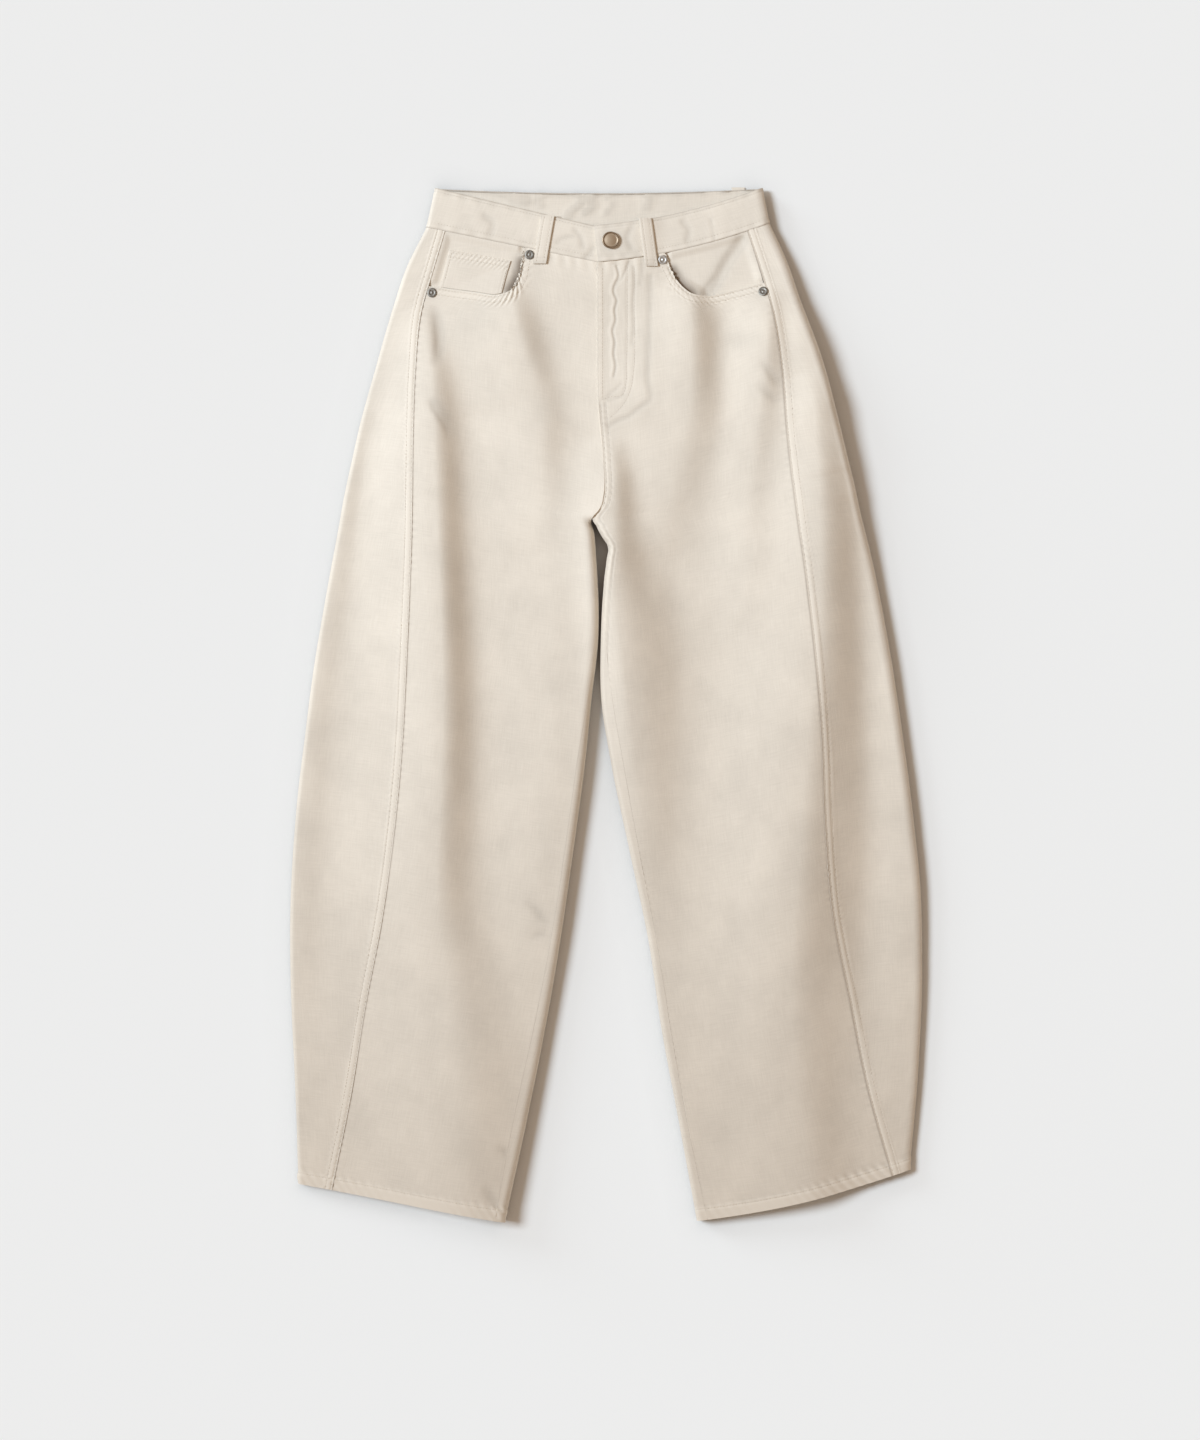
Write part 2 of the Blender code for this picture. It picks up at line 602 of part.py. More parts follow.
def band_point(height, column):
    """A point of the waistband. A column's whole number is its stretch: right front from its underlap, right
    side, back, left side and left front. The rest is its share of that stretch."""
    stretch = min(max(int(column), 0), 4)
    share = column - stretch
    half = RIGHT if stretch < 2 else LEFT
    d = half.toward_centre
    roll_x = band_side_x(half, height) + d * half.outer_roll
    if stretch in (0, 4):
        end = UNDERLAP_X if half is RIGHT else FLY_EDGE_X + (BAND_TOP_CENTRE[0] - FLY_EDGE_X) * height
        x = end + (roll_x - end) * (share if half is RIGHT else 1 - share)
        local = LEFT if x > FLY_EDGE_X else RIGHT
        lift = 0.0 if half is RIGHT else band_lift(x)
        return [x, band_front_y(local, x, height), band_top(local, x) + lift]
    if stretch in (1, 3):
        turn = share if half is RIGHT else 1 - share
        angle = math.pi / 2 - math.pi * turn
        x = roll_x - d * half.outer_roll * math.cos(angle)
        y = band_front_y(half, x, height) * (1 - turn) + band_back_y(x, height) * turn
        middle, reach = (band_top(half, roll_x) + BAND_REST) / 2, (band_top(half, roll_x) - BAND_REST) / 2
        return [x, y, middle + reach * math.sin(angle)]
    left_x = band_side_x(LEFT, height) - LEFT.outer_roll
    right_x = band_side_x(RIGHT, height) + RIGHT.outer_roll
    x = right_x + (left_x - right_x) * share
    return [x, band_back_y(x, height), BAND_REST]


def band_back_y(x, height):
    right_x, left_x = band_side_x(RIGHT, height), band_side_x(LEFT, height)
    share = (x - right_x) / (left_x - right_x)
    dip = BACK_DIP * 4 * share * (1 - share)
    low = back_seam_y(x) + SEAM_GAP / 2
    return low + (BAND_TOP_SIDE_Y - dip - low) * height


def back_seam_y(x):
    half = RIGHT if x < FLY_EDGE_X else LEFT
    return float(half.back_y(half.waist_y, x))


def waistband(material):
    columns = [0.0]
    for stretch, count in enumerate((13, 5, 6, 5, 13)):
        columns += [stretch + share for share in shares(count)[1:]]
    return wall("waistband", columns, shares(2), band_point, BAND_WALL, material, flip=True)


def front_loop(name, half, ends, material):
    """A belt loop: a flat strip from the waistband's top edge to just below the waist seam."""
    (top_x, top_y), (foot_x, foot_y) = ends

    def place(height, share):
        x = foot_x + (top_x - foot_x) * height + LOOP_WIDTH * (share - 0.5)
        y = foot_y + (top_y - foot_y) * height
        lift = band_lift(x) if half is LEFT else 0.0
        return [x, y, band_top(half, x) + lift + LAYER_GAP + LOOP_WALL]

    return wall(name, shares(2), shares(5), place, LOOP_WALL, material)


def back_loop(name, middle_x, top_y, material):
    """A belt loop under the back waistband, flat on the surface."""

    def place(height, share):
        x = middle_x + LOOP_WIDTH * (share - 0.5)
        foot_y = back_seam_y(middle_x) + SEAM_GAP
        return [x, foot_y + (top_y - foot_y) * height, BACK_LOOP_WALL]

    return wall(name, shares(1), shares(1), place, BACK_LOOP_WALL, material)


def fly_zip(material):
    """A plain closed zip behind the fly, from the waist seam to the fly's foot."""
    top_y = float(RIGHT.front_y(RIGHT.waist_y, FLY_EDGE_X)) - 6.0
    foot_y = FLY_FOOT[1] + 4.0

    def place(height, share):
        x = FLY_EDGE_X + ZIP_WIDTH * (share - 0.5)
        y = foot_y + (top_y - foot_y) * height
        under = min(float(RIGHT.top(min(x, FLY_EDGE_X), y)), float(RIGHT.top(FLY_EDGE_X, y)))
        return [x, y, under - CLOTH - 2 * LAYER_GAP]

    return wall("fly_zip", shares(2), shares(6), place, ZIP_WALL, material)


def turned(name, profile, steps, material, location, tilt):
    """A round piece: its profile, as radius and height from the axis up, spun about Z."""
    shape = bmesh.new()
    verts = [shape.verts.new((radius * MM, 0, height * MM)) for radius, height in profile]
    edges = [shape.edges.new(pair) for pair in zip(verts, verts[1:])]
    bmesh.ops.spin(shape, geom=verts + edges, cent=(0, 0, 0), axis=(0, 0, 1), angle=2 * math.pi,
                   steps=steps, use_merge=True)
    bmesh.ops.remove_doubles(shape, verts=shape.verts, dist=0.00001)
    bmesh.ops.recalc_face_normals(shape, faces=shape.faces)
    piece = add_object(name, shape, material)
    piece.location = Vector(location) * MM
    piece.rotation_mode = "QUATERNION"
    piece.rotation_quaternion = Vector(tilt).to_track_quat("Z", "Y")
    return piece


def slope_normal(height_at, x, y, step=3.0):
    """The upward normal of a surface given by its height."""
    along_x = (float(height_at(x + step, y)) - float(height_at(x - step, y))) / (2 * step)
    along_y = (float(height_at(x, y + step)) - float(height_at(x, y - step))) / (2 * step)
    return Vector((-along_x, -along_y, 1.0)).normalized()


def rivet(name, half, x, y, material):
    """A capped rivet with a small nub in a round dish."""
    r = RIVET_WIDTH / 2
    profile = ((0, 0), (r * 0.9, 0), (r, 0.5), (r * 0.9, 1.1), (r * 0.62, 1.35), (r * 0.42, 0.95), (r * 0.24, 1.0),
               (r * 0.14, 1.7), (0, 1.8))
    normal = slope_normal(half.top, x, y)
    # A flat base on a curved panel clears it by the panel's rise under the rivet's rim
    rises = [
        float(half.top(x + r * math.cos(a), y + r * math.sin(a)))
        + (normal.x * r * math.cos(a) + normal.y * r * math.sin(a)) / normal.z
        for a in np.linspace(0, 2 * math.pi, 16, endpoint=False)
    ]
    base = max(rises + [float(half.top(x, y))]) + 1.6 * LAYER_GAP / normal.z
    return turned(name, profile, 14, material, (x, y, base), normal)


def shank_button(material):
    """A round jeans button on a short shank, with a raised rim and a dished middle."""
    r = BUTTON_WIDTH / 2
    profile = ((0, 0), (r * 0.42, 0), (r * 0.42, 1.6), (r * 0.9, 1.7), (r, 2.3), (r * 0.98, 3.3), (r * 0.86, 3.8),
               (r * 0.74, 3.5), (r * 0.68, 3.0), (r * 0.4, 3.3), (0, 3.5))
    x, y = BUTTON_AT
    half = LEFT

    def height_at(px, py):
        return band_top(half, px) + band_lift(px)

    normal = slope_normal(height_at, x, y)
    base = height_at(x, y) + LAYER_GAP + 0.15
    return turned("button", profile, 24, material, (x, y, base), normal)


def build():
    for old in list(bpy.data.objects):
        bpy.data.objects.remove(old)
    twill = make_material("ecru_twill", ECRU, 0.9, 0.0)
    brass = make_material("antique_brass", ANTIQUE_BRASS, 0.4, 1.0)
    steel = make_material("gun_metal", GUN_METAL, 0.35, 1.0)
    for suffix, half in (("r", RIGHT), ("l", LEFT)):
        front_panel(f"front_panel_{suffix}", half, twill)
        back_panel(f"back_panel_{suffix}", half, twill)
        pocket_facing(f"pocket_facing_{suffix}", half, twill)
    coin_pocket("coin_pocket", RIGHT, twill)
    waistband(twill)
    fly_zip(twill)
    for name, ends in FRONT_LOOPS.items():
        front_loop(name, RIGHT if name.endswith("_r") else LEFT, ends, twill)
    for name, (middle_x, top_y) in BACK_LOOPS.items():
        back_loop(name, middle_x, top_y, twill)
    for name, (x, y) in RIVETS.items():
        rivet(name, RIGHT if name.endswith("_r") else LEFT, x, y, steel)
    shank_button(brass)


build()
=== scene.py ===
"""The looks of a pair of barrel leg trousers in ecru twill, laid flat with the front up.

Lengths are in millimetres unless a name says otherwise, and meshes are in metres. X runs across from the
wearer's right leg to the left one, +Y up to the waist and Z up from the surface. Each cloth panel is a fine
grid laid over the form of its solid: first the section of the leg, then the main folds, then the small
creases, seams, hems and puckers.
"""

import math
from collections import namedtuple

import bmesh
import bpy
import numpy as np
from mathutils import Matrix, Vector, noise


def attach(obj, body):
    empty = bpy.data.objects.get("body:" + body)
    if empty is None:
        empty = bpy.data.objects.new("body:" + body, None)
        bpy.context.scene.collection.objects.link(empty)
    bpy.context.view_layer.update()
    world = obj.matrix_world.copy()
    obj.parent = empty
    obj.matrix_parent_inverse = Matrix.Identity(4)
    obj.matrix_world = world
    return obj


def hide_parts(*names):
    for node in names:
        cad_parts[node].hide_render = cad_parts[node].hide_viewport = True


MM = 0.001

# Cloth and trim, as in the solids
CLOTH = 1.4
HEM_DEPTH = 12.5
BAND_WALL = 3.0
BAND_PROUD = 0.8
BAND_REST = 1.7
LOOP_WALL = 1.9
LOOP_WIDTH = 13.0
SEAM_GAP = 0.1
LAYER_GAP = 0.35
RIVET_WIDTH = 9.5
BUTTON_WIDTH = 17.0
LOWEST_TOP = 5.2
SETTLE = 2.0
FLY_LIFT = CLOTH + LAYER_GAP
BAND_LIFT = BAND_WALL + LAYER_GAP
FLY_LIFT_ENDS = (30.0, 62.0)
FLY_FOOT = (250.0, 300.0)
FLY_EDGE_X = -7.0

# One row for each section of a leg. inner_y is where the section meets the centre seam or the inner edge, and
# the section climbs from there to the outer edge. outer, seam and inner are where it crosses the outer edge,
# the outer seam and the centre seam or inner edge. inset is how far in from the inner edge the inseam shows.
# rim, middle and inside are the heights of the top at the outer edge, halfway across and at the inner edge.
Section = namedtuple("Section", "inner_y outer seam inner inset rim middle inside")
RIGHT_SECTIONS = (
    Section(442, -179.0, -160.0, -7.0, 0.0, 11, 9.5, 9.5),
    Section(404, -198.0, -171.5, -7.0, 0.0, 11, 9.5, 10),
    Section(364, -211.5, -183.0, -7.0, 0.0, 10.5, 9.0, 10),
    Section(304, -229.0, -189.0, -6.5, 0.0, 9.5, 8.5, 10),
    Section(244, -245.5, -191.0, -2.0, 0.0, 9.5, 8.5, 12),
    Section(206, -254.0, -191.5, -1.8, 0.0, 9.5, 8.5, 14),
    Section(197, -256.1, -191.6, -4.0, 0.0, 9.5, 8.5, 15),
    Section(191, -257.4, -191.6, -8.0, 0.0, 9.5, 8.5, 16),
    Section(186, -258.5, -191.7, -12.8, 0.0, 9.5, 8.5, 17),
    Section(171, -261.6, -191.9, -10.8, 0.0, 9.5, 8.5, 17),
    Section(144, -266.4, -192.4, -8.6, 0.0, 9.5, 8.5, 17),
    Section(64, -281.0, -195.4, -6.7, 0.0, 9.5, 8.0, 17),
    Section(4, -291.0, -198.2, -13.5, 4.0, 9.5, 7.5, 17),
    Section(-56, -299.0, -201.3, -19.5, 8.0, 9.5, 7.5, 17),
    Section(-146, -309.5, -209.4, -31.5, 8.5, 9.5, 7.5, 16),
    Section(-236, -315.0, -221.6, -44.5, 9.5, 9, 8.0, 16),
    Section(-326, -314.6, -238.6, -60.0, 11.5, 9, 8.5, 15),
    Section(-416, -310.6, -253.0, -78.0, 13.0, 9, 9.0, 14),
    Section(-518, -307.0, -273.0, -100.0, 10.0, 9, 9.5, 13),
)
LEFT_SECTIONS = (
    Section(442, 165.0, 142.0, -7.0, 0.0, 14, 9.5, 9.5),
    Section(404, 182.0, 154.5, -7.0, 0.0, 18, 9.5, 10),
    Section(364, 195.6, 166.0, -7.0, 0.0, 22, 9.0, 10),
    Section(304, 217.5, 176.0, -6.5, 0.0, 24, 9.0, 10),
    Section(244, 233.4, 181.0, -2.0, 0.0, 22, 8.5, 12),
    Section(206, 242.5, 185.0, -1.8, 0.0, 21, 8.5, 13),
    Section(197, 244.7, 186.0, -4.0, 0.0, 21, 8.5, 14),
    Section(191, 246.2, 186.9, -8.0, 0.0, 20, 8.5, 14),
    Section(186, 247.5, 187.5, -12.8, 0.0, 20, 8.5, 14),
    Section(178, 249.5, 188.5, -8.6, 0.0, 20, 8.5, 14),
    Section(170, 251.2, 189.6, -4.6, 0.0, 20, 8.5, 14),
    Section(157, 253.9, 191.3, 3.2, 0.0, 19, 8.5, 14),
    Section(144, 256.8, 193.0, 1.8, 0.0, 19, 8.5, 14),
    Section(124, 262.0, 196.0, -0.7, 0.0, 19, 8.5, 14),
    Section(64, 275.2, 203.6, -4.2, 5.0, 18, 7.5, 14),
    Section(4, 286.0, 210.0, -3.7, 11.0, 18, 7.0, 14),
    Section(-56, 295.2, 215.0, 5.5, 12.0, 17, 7.0, 13),
    Section(-146, 307.2, 219.0, 24.3, 9.5, 16, 7.5, 12),
    Section(-236, 316.0, 227.0, 43.3, 8.0, 14, 8.0, 11),
    Section(-326, 317.6, 244.0, 56.7, 9.0, 12, 8.5, 11),
    Section(-416, 313.8, 261.5, 73.5, 8.0, 10.5, 9.0, 11),
    Section(-517, 305.4, 287.0, 92.0, 10.5, 9.5, 9.5, 11),
)

# A fold is a ridge, or a trough where its heights are below zero. Each point of its path is x, y and height,
# then how far it falls away on its -X side and on its +X side.
FOLDS = {
    "long crease, right leg": (
        (-184, 400, 0, 22, 10), (-180, 372, 5, 26, 13), (-175, 334, 11, 34, 18), (-172, 304, 14.5, 44, 20),
        (-170, 244, 18.5, 54, 22), (-167, 164, 21, 58, 23), (-163, 64, 21.5, 60, 24),
        (-162, -16, 21.5, 62, 26), (-165, -96, 20.5, 66, 28), (-168, -196, 20, 70, 33),
        (-158, -276, 17, 76, 43), (-150, -346, 17, 80, 50), (-146, -426, 15.5, 84, 52),
        (-146, -520, 13, 84, 52)),
    "hip dome, right": (
        (-108, 436, 0, 50, 14), (-100, 416, 4, 56, 16), (-92, 392, 9, 60, 18), (-86, 368, 10, 60, 19),
        (-76, 334, 8, 58, 22), (-66, 304, 6, 54, 24), (-64, 254, 6, 50, 24), (-62, 204, 4, 50, 24),
        (-60, 150, 0, 50, 26)),
    "pocket to crotch, right": (
        (-64, 396, 0, 14, 30), (-50, 350, -2.5, 18, 34), (-41, 304, -3, 20, 40), (-37, 258, -3, 20, 44),
        (-34, 212, -1.5, 20, 44), (-34, 170, 0, 20, 44)),
    "outer valley, right leg": (
        (-214, 320, 0, 12, 16), (-234, 264, -3, 12, 18), (-243, 204, -4, 12, 20), (-252, 124, -4, 14, 22),
        (-262, 44, -4, 16, 24), (-270, -56, -4, 18, 26), (-278, -156, -3, 18, 26), (-284, -256, -2, 18, 26),
        (-284, -340, 0, 18, 26)),
    "inner knee, right leg": (
        (-60, 150, 0, 60, 30), (-58, 60, 2, 60, 30), (-62, -60, 3, 60, 34), (-76, -200, 3, 60, 34),
        (-96, -330, 1, 60, 40), (-110, -430, 0, 60, 40)),
    "pocket ridge, left": (
        (94, 420, 0, 26, 14), (86, 404, 9, 32, 18), (85, 374, 13, 46, 21), (85, 334, 13, 56, 22),
        (84, 304, 11.5, 58, 24), (77, 264, 8, 54, 28), (68, 224, 7, 44, 30), (62, 184, 4, 34, 30),
        (58, 140, 0, 34, 30)),
    "pocket trough, left": (
        (118, 414, 0, 14, 20), (120, 380, -3, 16, 24), (122, 334, -3, 16, 26), (122, 290, -2.5, 16, 26),
        (114, 240, -2, 20, 30), (102, 200, 0, 20, 34)),
    "side ridge, left": (
        (158, 420, 0, 20, 14), (160, 404, 4, 26, 14), (161, 374, 9, 30, 15), (158, 334, 9, 34, 18),
        (154, 304, 9, 34, 20), (148, 264, 8, 34, 21), (144, 224, 7, 32, 22), (141, 184, 6, 30, 24),
        (140, 144, 5, 30, 24), (138, 100, 2.5, 30, 26), (136, 50, 0, 30, 26)),
    "hip edge, left": (
        (184, 404, 0, 10, 18), (194, 374, 3, 14, 18), (202, 334, 3, 16, 20), (209, 304, 3, 18, 20)),
    "inner thigh, left leg": (
        (4, 270, 0, 30, 12), (6, 246, 6, 38, 14), (8, 222, 11, 40, 16), (8, 184, 13, 34, 20),
        (9, 144, 16, 26, 26), (12, 104, 16, 24, 35), (16, 64, 16, 24, 44), (24, 4, 14.5, 26, 48),
        (32, -56, 11, 28, 46), (41, -116, 7, 30, 38), (50, -176, 2.5, 30, 36), (60, -246, 0, 30, 40)),
    "knee valley, left leg": (
        (86, 220, 0, 24, 50), (84, 144, -3, 28, 60), (84, 64, -4, 30, 70), (80, -16, -4, 30, 70),
        (76, -96, -3, 30, 70), (80, -176, -2, 30, 70), (88, -256, 0, 30, 70)),
    "outer ridge, left leg": (
        (196, 330, 0, 24, 18), (206, 304, 6, 30, 20), (210, 264, 11, 38, 22), (212, 224, 17, 44, 25),
        (214, 184, 20, 52, 28), (214, 144, 21, 58, 29), (213, 104, 21, 64, 31), (210, 44, 22, 70, 34),
        (204, -16, 22.5, 76, 37), (197, -96, 22.5, 80, 41), (189, -196, 22.5, 80, 43),
        (186, -246, 21, 80, 44), (186, -296, 19, 80, 45), (188, -346, 16.5, 80, 44),
        (193, -396, 14.5, 80, 41), (199, -446, 12.5, 80, 38), (204, -520, 10.5, 80, 36)),
    "outer trough, left leg": (
        (236, 300, 0, 12, 14), (248, 244, -2, 14, 18), (256, 164, -3, 16, 22), (262, 64, -4, 18, 24),
        (266, -36, -5, 20, 26), (268, -136, -5, 22, 26), (264, -236, -4, 22, 28), (262, -316, -2, 22, 28),
        (262, -396, 0, 22, 24)),
}
CREASES = {
    "below the right rivet": ((-171, 402, 0, 5, 6), (-168, 385, -1.0, 5, 6), (-166, 360, -1.4, 5, 6),
                              (-168, 335, 0, 5, 6)),
    "right side pinch": ((-176, 306, 0, 4, 8), (-170, 296, -1.2, 4, 8), (-160, 280, -0.8, 4, 8),
                         (-154, 262, 0, 4, 8)),
    "left side upper": ((152, 345, 0, 4, 5), (165, 330, -0.9, 4, 5), (176, 314, 0, 4, 5)),
    "left side lower": ((150, 322, 0, 4, 5), (164, 308, -0.7, 4, 5), (178, 300, 0, 4, 5)),
    "left hip across": ((112, 366, 0, 10, 10), (136, 364, -0.5, 10, 10), (160, 368, 0, 10, 10)),
    "right inseam upper": ((-82, -196, 0, 3, 4), (-70, -206, -0.7, 3, 4), (-53, -226, 0, 3, 4)),
    "right inseam lower": ((-78, -236, 0, 3, 4), (-66, -230, -0.5, 3, 4), (-52, -232, 0, 3, 4)),
    "right inseam hem": ((-110, -440, 0, 4, 4), (-100, -447, -0.8, 4, 4), (-86, -462, 0, 4, 4)),
    "right hem pucker": ((-122, -478, 0, 5, 5), (-112, -496, -1.0, 5, 5), (-104, -508, 0, 5, 5)),
}

# Curved pocket mouths, from the outer seam to the waist seam
RIGHT_MOUTH = ((-174.5, 418), (-130, 411.5), (-107, 409), (-94, 414), (-86.7, 426), (-83, 442),
               (-81.5, 456.5))
LEFT_MOUTH = ((160.0, 421), (127, 412.7), (101, 408), (86, 410.6), (75.8, 419), (66.6, 433), (61, 450.5))
MOUTH_ROW = 364.0
MOUTH_SHARE = 0.56
FACING_UNDERLAP = 9.0
FACING_DROP = 0.8

# Waistband: each end of its front top edge, and the middle of its back one
BAND_TOP_SIDE_Y = 516.5
BAND_TOP_RIGHT_X = -170.5
BAND_TOP_LEFT_X = 158.0
BAND_TOP_CENTRE = (-11.0, 478.5)
BACK_DIP = 4.5
BACK_WAIST_Y = 474.5
UNDERLAP_X = 28.0

FRONT_LOOPS = {
    "belt_loop_front_r": ((-57.0, 489.0), (-65.5, 440.5)),
    "belt_loop_front_l": ((40.0, 486.0), (46.5, 438.0)),
}
COIN_TOP = ((-156.0, 454.0), (-94.5, 443.5))
COIN_LEAN = -9.0
RIVETS = {
    "rivet_outer_r": (-173.0, 411.5),
    "rivet_inner_r": (-75.5, 449.5),
    "rivet_inner_l": (58.0, 444.5),
    "rivet_outer_l": (158.0, 412.0),
}
BUTTON_AT = (5.5, 463.5)

# Topstitching: pitch along a row, the length of the thread that shows, and its thickness
STITCH_PITCH = 3.1
STITCH_LENGTH = 2.3
THREAD = 0.5
SEAM_BAND = 8.6
ROWS_IN_BAND = (1.7, 7.2)

ECRU = (0.812, 0.741, 0.644)
# Painted shade: the dark brown that the cloth's colour turns toward in gaps, seams, band edges and pocket
# mouths where little light reaches
PAINTED_SHADE_BROWN = (0.16, 0.105, 0.065)
STAGE_SIZE_M = 8.0
CAMERA_AT_M = (-0.005, -0.016, 4.012)
KEY_FROM_M = (-2.2, 0.9, 2.5)
KEY_AT_M = (0.3, 0.5, 0.0)
KEY_WATTS = 27.6
KEY_COLOUR = (0.77, 0.888, 1.0)
WARM_WORLD = (1.0, 0.78, 0.59, 1)
WORLD_STRENGTH = 0.40

# Suns that light the floor alone: strength, width in degrees, and where each shines from
SUN_COLOUR = (0.783, 0.903, 1.0)
FLOOR_SUNS = {
    "floor_key": (3.02, 20, (-1.4, 0.42, 1.35)),
    "floor_low_key": (1.35, 24, (-1.4, 0.9, 0.36)),
}

# Rows above the hem's edge that follow its fold and its stitches
HEM_ROWS = np.array([0, 0.8, 2, 4, 6, 8, 9.6, 10.6, 11.4, 12.2, 13.0, 14, 16, 19])
HEM_PAST = 22.0
# How dark the painted shade along the outer seam is
SEAM_SHADE = 0.34


def smooth(edge_from, edge_to, value):
    """0 before edge_from, 1 past edge_to, and an even S between them. edge_from may be the larger."""
    share = np.clip((np.asarray(value, float) - edge_from) / (edge_to - edge_from), 0, 1)
    return share * share * (3 - 2 * share)


def bump(centre, width, value):
    """A soft hump of height 1 at centre."""
    return np.exp(-(((np.asarray(value, float) - centre) / width) ** 2))


def curve_through(keys, values):
    """A smooth curve through values at increasing keys, held level past its ends."""
    keys, values = np.asarray(keys, float), np.asarray(values, float)
    slopes = np.gradient(values, keys)

    def at(key):
        key = np.clip(key, keys[0], keys[-1])
        i = np.clip(np.searchsorted(keys, key, side="right") - 1, 0, len(keys) - 2)
        span = keys[i + 1] - keys[i]
        t = (key - keys[i]) / span
        return (
            values[i] * (1 + 2 * t) * (1 - t) ** 2
            + values[i + 1] * t * t * (3 - 2 * t)
            + slopes[i] * span * t * (1 - t) ** 2
            - slopes[i + 1] * span * t * t * (1 - t)
        )

    return at


def along(points, spacing=2.0):
    """Closely spaced points on a smooth curve through points."""
    points = np.asarray(points, float)
    reach = np.concatenate([[0], np.cumsum(np.linalg.norm(np.diff(points[:, :2], axis=0), axis=1))])
    where = np.linspace(0, reach[-1], int(reach[-1] / spacing) + 2)
    return np.column_stack([curve_through(reach, column)(where) for column in points.T])


def nearest_on(line, x, y):
    """For each x, y: the distance to line, where along it the nearest point lies, as an index with a
    fraction, and the X offset from that point."""
    dx = x[..., None] - line[:, 0]
    dy = y[..., None] - line[:, 1]
    index = np.argmin(dx * dx + dy * dy, axis=-1)
    step_x, step_y = np.gradient(line[:, :2], axis=0)[index].T
    step_x, step_y = step_x.T, step_y.T
    dx = x - line[index, 0]
    dy = y - line[index, 1]
    ahead = np.clip((dx * step_x + dy * step_y) / (step_x ** 2 + step_y ** 2), -0.5, 0.5)
    place = np.clip(index + ahead, 0, len(line) - 1)
    dx = dx - (place - index) * step_x
    dy = dy - (place - index) * step_y
    return np.hypot(dx, dy), place, dx


MAIN_FOLDS = [along(path, 4.0) for path in FOLDS.values()]
SMALL_FOLDS = [along(path, 3.0) for path in CREASES.values()]


def fold_height(lines, x, y):
    """What the folds add to the top's height at x, y."""
    x, y = np.broadcast_arrays(np.asarray(x, float), np.asarray(y, float))
    total = np.zeros(x.shape)
    for line in lines:
        reach = 2.6 * line[:, 3:].max()
        low, high = line[:, :2].min(0) - reach, line[:, :2].max(0) + reach
        close = (x > low[0]) & (x < high[0]) & (y > low[1]) & (y < high[1])
        if not close.any():
            continue
        away, place, side = nearest_on(line, x[close], y[close])
        height, near, far = [np.interp(place, np.arange(len(line)), column) for column in line.T[2:]]
        total[close] += height * np.exp(-((away / np.where(side < 0, near, far)) ** 2))
    return total


